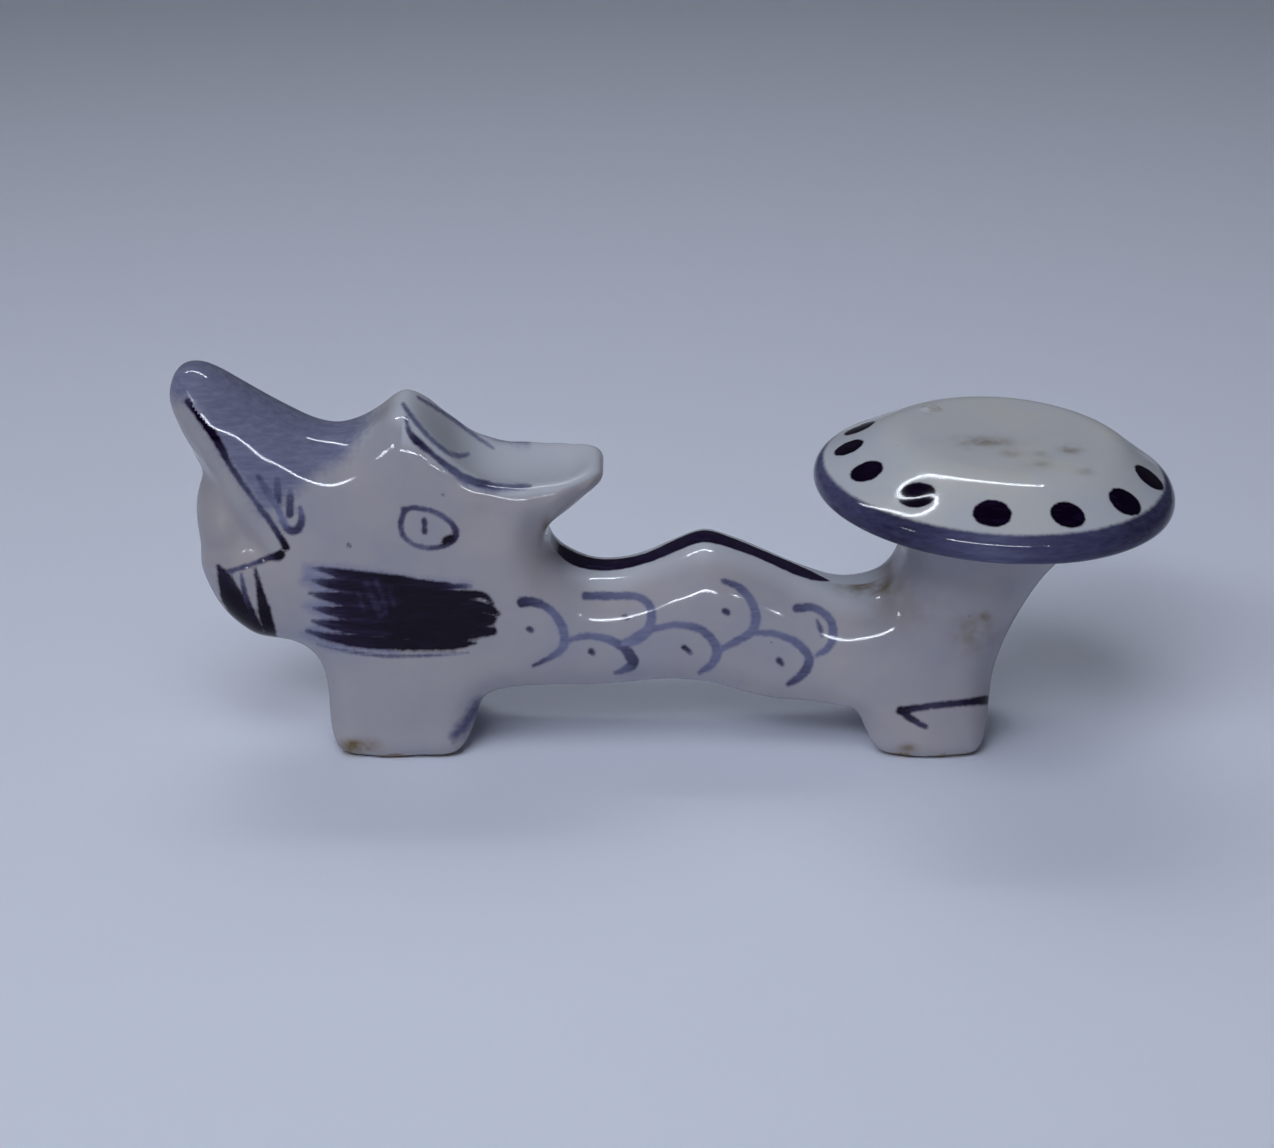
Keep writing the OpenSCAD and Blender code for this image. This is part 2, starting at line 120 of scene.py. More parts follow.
# The body's outline from the side, in millimetres: each run starts from a joint,
# as distances behind that joint and heights over the table
outline = {
    "snout": [
        (-8.3, 27.75), (-8.95, 29.2), (-9.55, 31.2), (-10.2, 33.0), (-10.62, 34.3),
        (-10.78, 35.4), (-10.6, 36.7), (-10.1, 37.9), (-9.35, 38.65), (-8.35, 38.85),
        (-7.3, 38.7), (-6.15, 38.1), (-4.05, 36.75), (-2.0, 35.35), (1.75, 33.15),
        (3.65, 32.35), (5.05, 32.1), (6.6, 32.2),
    ],
    "crest": [
        (8.05, 32.8), (9.35, 33.6), (10.55, 34.55), (11.7, 35.05), (12.85, 34.7),
        (14.3, 33.5), (16.0, 31.95), (17.5, 30.65), (19.05, 29.65), (21.0, 29.0),
        (23.05, 28.85), (26.75, 28.95), (28.95, 29.25), (29.9, 29.3), (30.7, 29.05),
        (31.15, 28.4), (30.95, 27.7),
    ],
    "neck": [
        (3.95, 26.6), (2.95, 25.7), (1.6, 24.6), (0.45, 23.7), (-0.12, 22.9),
        (-0.3, 22.0), (-0.15, 21.1), (0.35, 20.0), (1.25, 18.95), (2.45, 18.2),
        (4.1, 17.75), (5.85, 17.65), (7.8, 17.9), (9.85, 18.5), (11.3, 19.2),
        (12.75, 19.95), (14.2, 20.6), (15.25, 20.8), (16.3, 20.6), (18.15, 19.9),
        (20.4, 18.95), (22.65, 17.9), (24.7, 16.95), (26.65, 16.15), (28.4, 15.7),
    ],
    "tail": [
        (1.0, 15.6), (2.2, 15.75), (3.24, 16.2), (4.04, 16.8), (4.64, 17.6),
        (5.04, 18.5), (5.34, 19.9), (5.44, 22.0), (5.44, 24.6), (5.44, 28.5),
        (24.3, 28.5), (24.3, 24.6), (23.4, 23.0), (21.2, 20.9), (18.9, 18.0),
        (17.2, 15.1), (15.9, 12.25), (14.98, 9.4), (14.45, 6.9), (14.15, 4.5),
        (14.05, 2.4), (13.65, 1.15), (12.7, 0.3), (11.4, 0.0), (8.5, 0.0), (5.9, 0.0),
        (3.9, 0.2), (2.6, 0.95), (1.85, 2.1), (1.4, 3.2), (0.8, 4.15), (0.1, 4.55),
    ],
    "belly": [
        (28.7, 4.65), (25.8, 4.7), (22.7, 4.8), (20.8, 5.15), (18.9, 5.65), (17.1, 6.2),
        (15.4, 6.65), (13.6, 6.85), (11.85, 6.9), (9.3, 6.75), (6.85, 6.5), (4.2, 6.35),
        (1.2, 6.3), (-1.8, 6.25), (-4.3, 6.2), (-5.6, 6.05), (-6.5, 5.5), (-7.0, 4.5),
        (-7.35, 3.1), (-7.9, 1.75), (-8.85, 0.6), (-10.3, 0.05), (-12.3, 0.0),
    ],
    "chin": [
        (10.0, 0.0), (7.2, 0.0), (5.4, 0.3), (4.25, 1.3), (3.75, 2.6), (3.7, 4.5),
        (3.65, 6.3), (3.35, 8.0), (2.6, 9.4), (1.5, 10.3), (0.2, 10.85), (-1.8, 11.2),
        (-3.5, 11.5), (-5.1, 12.35), (-6.5, 13.8), (-7.75, 15.9), (-8.55, 18.1),
        (-8.85, 20.4), (-9.0, 22.6), (-8.95, 24.6), (-8.6, 26.3),
    ],
}
outlineStart = {"snout": jawX, "crest": jawX, "neck": neckX, "tail": tailX, "belly": neckX, "chin": jawX}

# How broad the body is and how round its edges are: distance behind the joint, height,
# half width, radius of the rounded edge
breadth = {
    "jaws": [
        (-10.3, 36.0, 3.5, 3.1), (-8.8, 37.6, 4.5, 3.9), (-6.0, 36.0, 5.8, 4.9), (-6.0, 33.0, 6.1, 4.8),
        (-2.0, 34.0, 6.5, 5.4), (-2.0, 28.0, 6.6, 5.0), (2.0, 32.0, 7.0, 5.9), (5.0, 31.5, 7.1, 6.0),
        (7.0, 31.5, 7.0, 4.6), (-8.3, 29.0, 4.5, 3.6), (-8.2, 23.5, 4.9, 3.6), (-5.0, 25.0, 6.1, 3.6),
        (-7.6, 18.0, 4.6, 3.2), (-5.2, 14.0, 5.3, 3.6), (-1.5, 12.0, 6.6, 4.2), (-2.0, 20.0, 7.1, 4.0),
    ],
    "head": [
        (9.6, 32.8, 7.0, 4.4), (11.8, 34.5, 6.6, 3.6), (14.4, 32.7, 7.3, 3.2), (16.6, 30.5, 7.8, 2.9),
        (20.0, 28.7, 8.0, 2.6), (23.0, 28.3, 7.9, 2.5), (26.7, 28.3, 7.3, 2.3), (28.9, 28.6, 6.1, 2.1),
        (30.5, 28.5, 4.3, 1.8), (28.6, 26.4, 5.4, 2.8), (26.0, 24.0, 6.5, 3.6), (8.0, 24.0, 7.4, 4.0),
        (14.5, 28.5, 7.1, 3.4), (20.0, 25.6, 7.1, 3.4), (2.0, 20.0, 7.4, 4.0), (14.0, 24.0, 7.3, 4.0),
        (20.0, 21.0, 7.5, 4.0), (8.0, 13.0, 7.5, 4.4), (16.0, 12.0, 7.5, 4.0), (23.0, 12.0, 7.3, 3.8),
        (23.0, 19.0, 7.3, 4.0),
    ],
    "trunk": [
        (0.2, 20.0, 6.8, 5.0), (0.0, 8.0, 6.9, 3.6), (6.0, 17.0, 6.6, 5.4), (6.0, 7.0, 6.7, 3.4),
        (15.2, 20.0, 6.7, 5.4), (15.2, 7.5, 6.7, 3.4), (22.0, 17.0, 6.7, 5.4), (22.0, 5.5, 6.8, 3.4),
        (28.0, 15.0, 6.9, 5.4), (14.0, 13.0, 6.75, 4.4),
    ],
    "tail": [
        (3.0, 14.0, 7.3, 5.2), (5.5, 19.0, 7.6, 5.0), (9.0, 12.0, 7.65, 4.6), (6.5, 24.0, 8.2, 4.6),
        (22.5, 24.0, 8.2, 4.6), (15.0, 9.0, 7.6, 4.6), (17.5, 16.0, 7.9, 4.8), (14.0, 24.0, 8.25, 4.6),
    ],
    "feet": [
        (4.2, 3.5, 7.6, 3.2), (10.0, 4.0, 7.6, 3.0), (17.5, 4.0, 7.6, 3.2), (10.0, 0.0, 8.3, 0.9),
        (5.0, 0.4, 8.1, 1.1), (15.5, 0.4, 8.1, 1.1), (57.5, 3.0, 7.6, 3.0), (68.6, 3.0, 7.6, 3.2),
        (63.0, 0.0, 8.3, 0.9), (58.0, 0.4, 8.1, 1.1), (68.0, 0.4, 8.1, 1.1),
    ],
}
breadthStart = {"jaws": jawX, "head": jawX, "trunk": neckX, "tail": tailX, "feet": jawX}

bodyShape = {
    "perSpan": 5,  # points on the outline from one row to the next
    "pitch": 0.25,  # spacing of the sampling grid
    "margin": 1.5,
    "gridHalf": 8.6,
    "bulge": 0.45,  # how far the flanks swell between their edges
    "bulgeReach": 3.5,
    "dish": 1.05,  # hollow along the top of the crest
    "dishReach": 2.7,
    "dishEdge": (0.5, 1.0),  # shares of the reach over which it ends
    "dishRun": (12.5, 19.0, 27.5, 30.5),
    "dishLine": (3, 15),  # the crest points that it follows
    "dishSide": 1.0,
    "upperTip": 35.0,  # heights of the lips' tips
    "lowerTip": 18.6,
    "lipStep": 1.7,  # how far the mouth's web lies in from the cheeks
    "lipBlend": 1.5,
    "webRun": (0.2, 1.2),
    "webBulge": (-6.2, 23.2, 2.0, 1.3),  # behind the jaw joint, height, reach, rise
    "discFillet": 1.5,
    "discLift": 0.2,
    "stemShare": 0.9,  # of the disc's radius
    "neckSeam": 22.8,  # height of the crest's joint at the neck
    "softening": 0.5,  # spread of the glaze over every corner
    "kernelSpread": 1.4,
    "skinSteps": 6,
    "leastSlope": 0.05,
    "crestOnly": ((-99, -99, 25), (-5, 99, 99)),  # boxes for the middle of what is kept
    "trunkOnly": ((-99, -99, -99), (99, 99, 18)),
}


def spline(before, points, after, beyond, perSpan):
    # Smooth curve from each point to the next
    rows = []
    for step in range(perSpan):
        t = step / perSpan
        rows.append(0.5 * (2 * points + (after - before) * t
                           + (2 * before - 5 * points + 4 * after - beyond) * t ** 2
                           + (3 * points - before - 3 * after + beyond) * t ** 3))
    return np.stack(rows, axis=1).reshape(-1, 2)


def segmentDistance(points, a, b):
    # Distance of each point from the segment a-b, and how far along it lies
    along = b - a
    reach = max(float(along @ along), 1e-12)
    share = np.clip(((points - a) @ along) / reach, 0.0, 1.0)
    return np.linalg.norm(points - a - share[:, None] * along, axis=1), share


def outlineDistance(points, ring):
    # Signed distance from a closed outline, negative inside
    nearest = np.full(len(points), 1e9)
    inside = np.zeros(len(points), bool)
    for a, b in zip(ring, np.roll(ring, -1, axis=0)):
        nearest = np.minimum(nearest, segmentDistance(points, a, b)[0])
        crosses = (a[1] > points[:, 1]) != (b[1] > points[:, 1])
        if crosses.any():
            where = a[0] + (points[:, 1] - a[1]) / (b[1] - a[1] + 1e-30) * (b[0] - a[0])
            inside ^= crosses & (points[:, 0] < where)
    return np.where(inside, -nearest, nearest)


def smoothStep(low, high, value):
    t = np.clip((value - low) / (high - low), 0.0, 1.0)
    return t * t * (3 - 2 * t)


def bodyRing():
    points = []
    for run, rows in outline.items():
        points += [(outlineStart[run] + x, z) for x, z in rows]
    points = np.array(points, float)
    before, after, beyond = (np.roll(points, shift, axis=0) for shift in (1, -1, -2))
    return spline(before, points, after, beyond, bodyShape["perSpan"])


def spreadValues(points, column):
    # Smooth blend of a column of the breadth table over the side view
    total = np.zeros(len(points))
    weights = np.zeros(len(points))
    for run, rows in breadth.items():
        for row in rows:
            offset = points - (breadthStart[run] + row[0], row[1])
            weight = 1 / ((offset ** 2).sum(axis=1) + bodyShape["kernelSpread"] ** 2) ** 2
            total += weight * row[column]
            weights += weight
    return total / weights


def lipLines():
    # Corner of the mouth, tip of the upper lip and tip of the lower lip
    upperTip = Vector((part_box("upper_jaw")[0].x / mm, bodyShape["upperTip"]))
    lowerTip = Vector((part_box("lower_jaw")[0].x / mm, bodyShape["lowerTip"]))
    return Vector((jawX, mouthZ)), upperTip, lowerTip


def sideOf(points, a, b):
    # Signed distance from the line a-b, positive on its left
    along = np.array(b) - np.array(a)
    along = along / np.linalg.norm(along)
    offset = points - np.array(a)
    return along[0] * offset[:, 1] - along[1] * offset[:, 0]


def blurred(field, spread):
    reach = int(math.ceil(3 * spread))
    kernel = np.exp(-0.5 * (np.arange(-reach, reach + 1) / spread) ** 2)
    kernel = (kernel / kernel.sum()).astype(np.float32)
    for axis in range(3):
        padded = np.pad(field, [(reach, reach) if a == axis else (0, 0) for a in range(3)], mode="edge")
        result = np.zeros_like(field)
        for shift, weight in enumerate(kernel):
            cut = [slice(None)] * 3
            cut[axis] = slice(shift, shift + field.shape[axis])
            result += weight * padded[tuple(cut)]
        field = result
    return field


def halfWidths(flat, side):
    # Half the body's width: flanks that swell, and the web set in between the lips
    half = spreadValues(flat, 2)
    corner, upperTip, lowerTip = lipLines()
    mouth = np.minimum(sideOf(flat, corner, upperTip), -sideOf(flat, corner, lowerTip))
    mouth = np.where(flat[:, 0] < jawX, mouth, -1.0)
    half -= bodyShape["lipStep"] * smoothStep(0.0, bodyShape["lipBlend"], mouth)
    bulgeX, bulgeZ, reach, rise = bodyShape["webBulge"]
    away = np.hypot(flat[:, 0] - jawX - bulgeX, flat[:, 1] - bulgeZ) / reach
    half += rise * np.exp(-away ** 2) * smoothStep(*bodyShape["webRun"], mouth)
    half -= bodyShape["bulge"] * np.exp(np.minimum(side, 0) / bodyShape["bulgeReach"])
    return half


def crestDish(flat):
    # Depth of the hollow along the crest's top
    start, full, fading, end = bodyShape["dishRun"]
    first, last = bodyShape["dishLine"]
    behind = flat[:, 0] - jawX
    crestLine = np.array([(outlineStart["crest"] + x, z) for x, z in outline["crest"][first:last]])
    away = np.min([segmentDistance(flat, a, b)[0] for a, b in zip(crestLine, crestLine[1:])], axis=0)
    dish = smoothStep(start, full, behind) * (1 - smoothStep(fading, end, behind))
    dish *= bodyShape["dish"] * (1 - smoothStep(*bodyShape["dishEdge"], away / bodyShape["dishReach"]))
    return dish


def bothOf(first, second):
    # Distance from what lies inside two surfaces
    return np.minimum(np.maximum(first, second), 0) + np.hypot(np.maximum(first, 0), np.maximum(second, 0))


def flaredInto(field, radial, under):
    # Runs the stem out into the underside of the disc
    slab = bothOf(under, radial).astype(np.float32)
    blend = bodyShape["discFillet"]
    near = np.maximum(blend - np.abs(field - slab), 0) / blend
    return np.minimum(field, slab) - near ** 2 * blend / 4


def closedAtBorder(field, pitch):
    # The grid's own border lies outside
    for axis in range(3):
        for cut in (slice(0, 2), slice(-2, None)):
            border = [slice(None)] * 3
            border[axis] = cut
            field[tuple(border)] = np.maximum(field[tuple(border)], pitch)
    return field


def bodyField():
    # Distance from the body's skin on a grid, negative inside
    ring = bodyRing()
    pitch = bodyShape["pitch"]
    low = np.array([ring[:, 0].min(), -bodyShape["gridHalf"], ring[:, 1].min()]) - bodyShape["margin"]
    high = np.array([ring[:, 0].max(), bodyShape["gridHalf"], ring[:, 1].max()]) + bodyShape["margin"]
    counts = np.ceil((high - low) / pitch).astype(int) + 1
    xs, ys, zs = (low[k] + pitch * np.arange(counts[k]) for k in range(3))
    gridX, gridZ = np.meshgrid(xs, zs, indexing="ij")
    flat = np.stack([gridX.ravel(), gridZ.ravel()], axis=1)
    side = outlineDistance(flat, ring)
    columns = (side, halfWidths(flat, side), spreadValues(flat, 3), crestDish(flat))
    side, half, edge, dish = (v.reshape(gridX.shape).astype(np.float32)[:, None, :] for v in columns)
    away = np.abs(ys).astype(np.float32)[None, :, None]
    hollow = dish * np.clip(1 - (away / (half - bodyShape["dishSide"])) ** 2, 0, 1)
    field = bothOf(side + hollow + edge, away - half + edge) - edge
    under = discUnder(gridX)[:, None, :] + bodyShape["discLift"] - gridZ[:, None, :]
    radial = np.hypot(gridX[:, None, :] - discTop.x, ys[None, :, None]) - bodyShape["stemShare"] * discRadius
    field = flaredInto(field, radial, under)
    field = blurred(field.astype(np.float32), bodyShape["softening"] / pitch)
    return closedAtBorder(field, pitch), low, pitch


def discUnder(x):
    # Height of the disc's flat underside
    thickness = discProfile["sizes"]["Thickness"]
    return discTop.z - thickness / math.cos(discTilt) - (x - discTop.x) * math.tan(discTilt)


def sampled(field, low, pitch, points):
    # The field's value between its grid points
    place = (points - low) / pitch
    place = np.clip(place, 0, np.array(field.shape[:3]) - 1.001)
    base = place.astype(int)
    t = place - base
    value = 0.0
    for corner in range(8):
        step = np.array([corner & 1, corner >> 1 & 1, corner >> 2 & 1])
        weight = np.prod(np.where(step, t, 1 - t), axis=1)
        cell = base + step
        part = field[cell[:, 0], cell[:, 1], cell[:, 2]]
        value = value + (weight[:, None] * part if part.ndim > 1 else weight * part)
    return value


def skinOf(field, low, pitch, slopes):
    # Quads where the field is zero, with their corners drawn on to the skin
    inside = field < 0
    counts = np.array(field.shape) - 1
    total = np.zeros(tuple(counts), np.int32)
    for corner in range(8):
        s = (corner & 1, corner >> 1 & 1, corner >> 2 & 1)
        total += inside[s[0]:s[0] + counts[0], s[1]:s[1] + counts[1], s[2]:s[2] + counts[2]]
    mixed = (total > 0) & (total < 8)
    index = np.full(mixed.shape, -1, np.int64)
    index[mixed] = np.arange(mixed.sum())
    points = low + pitch * (np.argwhere(mixed) + 0.5)
    quads = []
    for axis in range(3):
        first = [slice(None)] * 3
        second = [slice(None)] * 3
        first[axis] = slice(0, -1)
        second[axis] = slice(1, None)
        starts = np.argwhere(inside[tuple(first)] != inside[tuple(second)])
        u, v = (axis + 1) % 3, (axis + 2) % 3
        leaving = inside[tuple(first)][tuple(starts.T)]
        cells = []
        for du, dv in ((0, 0), (-1, 0), (-1, -1), (0, -1)):
            cell = starts.copy()
            cell[:, u] += du
            cell[:, v] += dv
            cells.append(index[tuple(cell.T)])
        quad = np.stack(cells, axis=1)
        quad[~leaving] = quad[~leaving][:, ::-1]
        quads.append(quad)
    quads = np.concatenate(quads)
    for _ in range(bodyShape["skinSteps"]):
        value = sampled(field, low, pitch, points)
        slope = sampled(slopes, low, pitch, points)
        size = np.maximum((slope ** 2).sum(axis=1), bodyShape["leastSlope"])
        points = points - np.clip(value / size, -pitch, pitch)[:, None] * slope
    return points, quads[:, ::-1]


def meshFrom(points, quads, name):
    mesh = bpy.data.meshes.new(name)
    mesh.from_pydata([tuple(p) for p in points], [], [tuple(q) for q in quads])
    return mesh


def dropOutside(bm, low, high):
    # Takes out each loose part whose middle lies outside a box
    seen = set()
    for start in bm.verts[:]:
        if start in seen:
            continue
        island, stack = [], [start]
        seen.add(start)
        while stack:
            vert = stack.pop()
            island.append(vert)
            for e in vert.link_edges:
                other = e.other_vert(vert)
                if other not in seen:
                    seen.add(other)
                    stack.append(other)
        middle = sum((v.co for v in island), Vector()) / len(island)
        if not all(low[k] <= middle[k] <= high[k] for k in range(3)):
            bmesh.ops.delete(bm, geom=island, context="VERTS")


def carve(source, cuts, name, keepBox=None):
    # Closed piece of a mesh: each cut is a point and the way that is cleared
    bm = bmesh.new()
    bm.from_mesh(source)
    for place, way in cuts:
        result = bmesh.ops.bisect_plane(
            bm, geom=bm.verts[:] + bm.edges[:] + bm.faces[:], dist=1e-4,
            plane_co=place, plane_no=way, clear_outer=True)
        rim = [e for e in result["geom_cut"] if isinstance(e, bmesh.types.BMEdge)]
        rim = [e for e in rim if len(e.link_faces) == 1]
        for face in bmesh.ops.holes_fill(bm, edges=rim, sides=0)["faces"]:
            face.material_index = 1
    if keepBox is not None:
        dropOutside(bm, *keepBox)
    caps = [f for f in bm.faces if f.material_index == 1]
    bmesh.ops.triangulate(bm, faces=caps)
    bmesh.ops.recalc_face_normals(bm, faces=bm.faces[:])
    mesh = bpy.data.meshes.new(name)
    bm.to_mesh(mesh)
    bm.free()
    return mesh


# Spoon disc, in millimetres: its section, turned round its own axis
discProfile = {
    "sizes": {
        "Flat Radius": 11.0, "Rim Radius": 1.9, "Under Rim Radius": 1.3, "Under Flat Radius": 11.2,
        "Thickness": 6.9, "Top Softness": 6.0, "Under Softness": 3.0, "Wobble": 0.1, "Wobble Size": 9.0,
        "Dent Depth": 0.22, "Dent Reach": 1.6, "Pock Rise": 0.3, "Pock Radius": 0.5,
    },
    "angles": {"Slope": 29.0, "Under Rise": 8.5},  # degrees
    "counts": {"Around": 320, "Rows": 132},
    "seed": 4.0,
    "filletPoints": 14,
    "merge": 0.001,
    "topShift": (1.0, 1.3, 0.0),  # the flat top stands off the rim's centre
    "dentPlace": (-8.6, -10.7, -2.0),  # soft hollow in the cone
    "pockPlace": (-5.8, 7.2, 0.0),  # small burst bubble in the glaze
    "pockBand": 0.7,
}


class Tree:
    # Node tree builder: node() makes a node, sets its options and feeds its inputs,
    # by name or by number (i0, i1)
    def __init__(self, tree):
        self.tree = tree

    def node(self, kind, settings=None, **inputs):
        made = self.tree.nodes.new(kind)
        for key, value in (settings or {}).items():
            setattr(made, key, value)
        for key, value in inputs.items():
            numbered = key[0] == "i" and key[1:].isdigit()
            self.feed(made.inputs[int(key[1:]) if numbered else key], value)
        return made

    def feed(self, socket, value):
        if isinstance(value, bpy.types.NodeSocket):
            self.tree.links.new(value, socket)
        else:
            socket.default_value = value

    def math(self, operation, a, b=0.0, c=0.0):
        made = self.node("ShaderNodeMath", {"operation": operation}, i0=a, i1=b)
        if operation == "MULTIPLY_ADD":
            self.feed(made.inputs[2], c)
        return made.outputs[0]

    def times(self, a, b):
        return self.math("MULTIPLY", a, b)

    def minus(self, a, b):
        return self.math("SUBTRACT", a, b)

    def combine(self, x=0.0, y=0.0, z=0.0):
        return self.node("ShaderNodeCombineXYZ", i0=x, i1=y, i2=z).outputs[0]

    def scaled(self, vector, scale):
        return self.node("ShaderNodeVectorMath", {"operation": "SCALE"}, Vector=vector, Scale=scale).outputs[0]

    def ranged(self, value, low, high, start=0.0, end=1.0, kind="LINEAR"):
        return self.node("ShaderNodeMapRange", {"interpolation_type": kind},
                         Value=value, i1=low, i2=high, i3=start, i4=end).outputs[0]

    def noise(self, place, look):
        # The look is a scale, a detail and a roughness
        return self.node("ShaderNodeTexNoise", Vector=place, Scale=look[0], Detail=look[1],
                         Roughness=look[2]).outputs[0]

    def mix(self, share, under, over):
        return self.node("ShaderNodeMix", {"data_type": "RGBA"}, i0=share, i6=under, i7=over).outputs[2]


def discSection(t, given, drop):
    # Its rounded section, from the middle of the top to the middle of the underside
    rise = t.times(t.minus(given["Radius"], given["Under Flat Radius"]), t.math("TANGENT", given["Under Rise"]))
    depth = t.times(given["Thickness"], -1.0)
    corners = [
        t.combine(),
        t.combine(x=given["Flat Radius"]),
        t.combine(x=given["Radius"], z=t.times(drop, -1.0)),
        t.combine(x=given["Radius"], z=t.math("ADD", depth, rise)),
        t.combine(x=given["Under Flat Radius"], z=depth),
        t.combine(z=depth),
    ]
    softness = [0.0, given["Top Softness"], given["Rim Radius"], given["Under Rim Radius"],
                given["Under Softness"], 0.0]
    index = t.node("GeometryNodeInputIndex").outputs[0]

    def byCorner(values, kind):
        switch = t.node("GeometryNodeIndexSwitch", {"data_type": kind})
        while len(switch.index_switch_items) < len(values):
            switch.index_switch_items.new()
        t.feed(switch.inputs[0], index)
        for k, value in enumerate(values):
            t.feed(switch.inputs[k + 1], value)
        return switch.outputs[0]

    line = t.node("GeometryNodeMeshLine", Count=len(corners)).outputs[0]
    placed = t.node("GeometryNodeSetPosition", Geometry=line, Position=byCorner(corners, "VECTOR")).outputs[0]
    section = t.node("GeometryNodeMeshToCurve", Mesh=placed).outputs[0]
    return t.node("GeometryNodeFilletCurve", {"mode": "POLY"}, Curve=section,
                  Count=discProfile["filletPoints"], Radius=byCorner(softness, "FLOAT")).outputs[0]


def turnedSheet(t, given, drop):
    # A sheet of rows and columns, bent round the axis along the section
    section = discSection(t, given, drop)
    sheet = t.node("GeometryNodeMeshGrid", i2=t.math("ADD", given["Around"], 1.0), i3=given["Rows"])
    place = t.node("ShaderNodeSeparateXYZ", Vector=sheet.outputs["UV Map"]).outputs
    angle = t.times(place[0], 2 * math.pi)
    at = t.node("GeometryNodeSampleCurve", {"mode": "FACTOR", "data_type": "FLOAT"},
                Curves=section, Factor=place[1])
    spot = t.node("ShaderNodeSeparateXYZ", Vector=at.outputs["Position"]).outputs
    across, along = (t.times(spot[0], t.math(kind, angle)) for kind in ("COSINE", "SINE"))
    turned = t.combine(across, along, spot[2])
    body = t.node("GeometryNodeSetPosition", Geometry=sheet.outputs["Mesh"], Position=turned).outputs[0]
    aside = t.scaled(given["Top Shift"], t.ranged(spot[2], t.times(drop, -1.0), 0.0))
    return t.node("GeometryNodeSetPosition", Geometry=body, Offset=aside).outputs[0]


def unevenness(t, given):
    # How far the surface lies in from the true turned shape: a waver, a dent and a pock with a raised rim
    where = t.node("GeometryNodeInputPosition").outputs[0]
    waver = t.node("ShaderNodeTexNoise", {"noise_dimensions": "4D"}, Vector=where, W=given["Seed"],
                   Scale=t.math("DIVIDE", 1.0, given["Wobble Size"]), Detail=0.0).outputs[0]

    def bell(spot, off, reach):
        # Falls from 1 to 0 with the distance from a spot, or from a ring of radius off round it
        spot = tuple(v * mm for v in spot)
        away = t.node("ShaderNodeVectorMath", {"operation": "DISTANCE"}, i0=where, i1=spot)
        share = t.math("DIVIDE", t.minus(away.outputs["Value"], off), reach)
        return t.math("EXPONENT", t.times(t.times(share, share), -1.0))

    dent = t.times(bell(discProfile["dentPlace"], 0.0, given["Dent Reach"]), given["Dent Depth"])
    band = t.times(given["Pock Radius"], discProfile["pockBand"])
    ring = bell(discProfile["pockPlace"], given["Pock Radius"], band)
    amount = t.math("ADD", t.times(waver, given["Wobble"]), dent)
    return t.minus(amount, t.times(ring, given["Pock Rise"]))


def makeDiscTree(values):
    tree = bpy.data.node_groups.new("turnedDisc", "GeometryNodeTree")
    tree.interface.new_socket("Geometry", in_out="OUTPUT", socket_type="NodeSocketGeometry")
    for name, value in values.items():
        kind = "NodeSocketInt" if isinstance(value, int) else "NodeSocketFloat"
        tree.interface.new_socket(name, in_out="INPUT", socket_type=kind)
    shift = tree.interface.new_socket("Top Shift", in_out="INPUT", socket_type="NodeSocketVector")
    shift.default_value = tuple(v * mm for v in discProfile["topShift"])
    tree.interface.new_socket("Material", in_out="INPUT", socket_type="NodeSocketMaterial")
    t = Tree(tree)
    given = t.node("NodeGroupInput").outputs
    drop = t.times(t.minus(given["Radius"], given["Flat Radius"]), t.math("TANGENT", given["Slope"]))
    body = turnedSheet(t, given, drop)
    inward = t.scaled(t.node("GeometryNodeInputNormal").outputs[0], unevenness(t, given))
    body = t.node("GeometryNodeMergeByDistance", Geometry=body, Distance=discProfile["merge"] * mm).outputs[0]
    body = t.node("GeometryNodeSetPosition", Geometry=body, Offset=inward).outputs[0]
    body = t.node("GeometryNodeRealizeInstances", Geometry=body).outputs[0]
    body = t.node("GeometryNodeSetMaterial", Geometry=body, Material=given["Material"]).outputs[0]
    t.node("NodeGroupOutput", Geometry=body)
    return tree


def makeDisc():
    values = {name: size * mm for name, size in discProfile["sizes"].items()}
    values["Radius"] = (discRadius - discProfile["sizes"]["Wobble"]) * mm
    values["Seed"] = discProfile["seed"]
    values.update((name, math.radians(angle)) for name, angle in discProfile["angles"].items())
    values.update(discProfile["counts"])
    tree = makeDiscTree(values)
    holder = addObject("discTurning", bpy.data.meshes.new("discTurning"))
    modifier = holder.modifiers.new("turnedDisc", "NODES")
    modifier.node_group = tree
    for item in tree.interface.items_tree:
        if item.in_out == "INPUT" and item.name in values:
            modifier[item.identifier] = values[item.name]
    shaped = holder.evaluated_get(bpy.context.evaluated_depsgraph_get())
    mesh = bpy.data.meshes.new_from_object(shaped)
    bpy.data.objects.remove(holder)
    bm = bmesh.new()
    bm.from_mesh(mesh)
    bmesh.ops.recalc_face_normals(bm, faces=bm.faces[:])
    bm.to_mesh(mesh)
    bm.free()
    mesh.name = "spoonDisc"
    mesh.transform(Matrix.Translation(discTop * mm) @ Matrix.Rotation(discTilt, 4, "Y"))
    return mesh


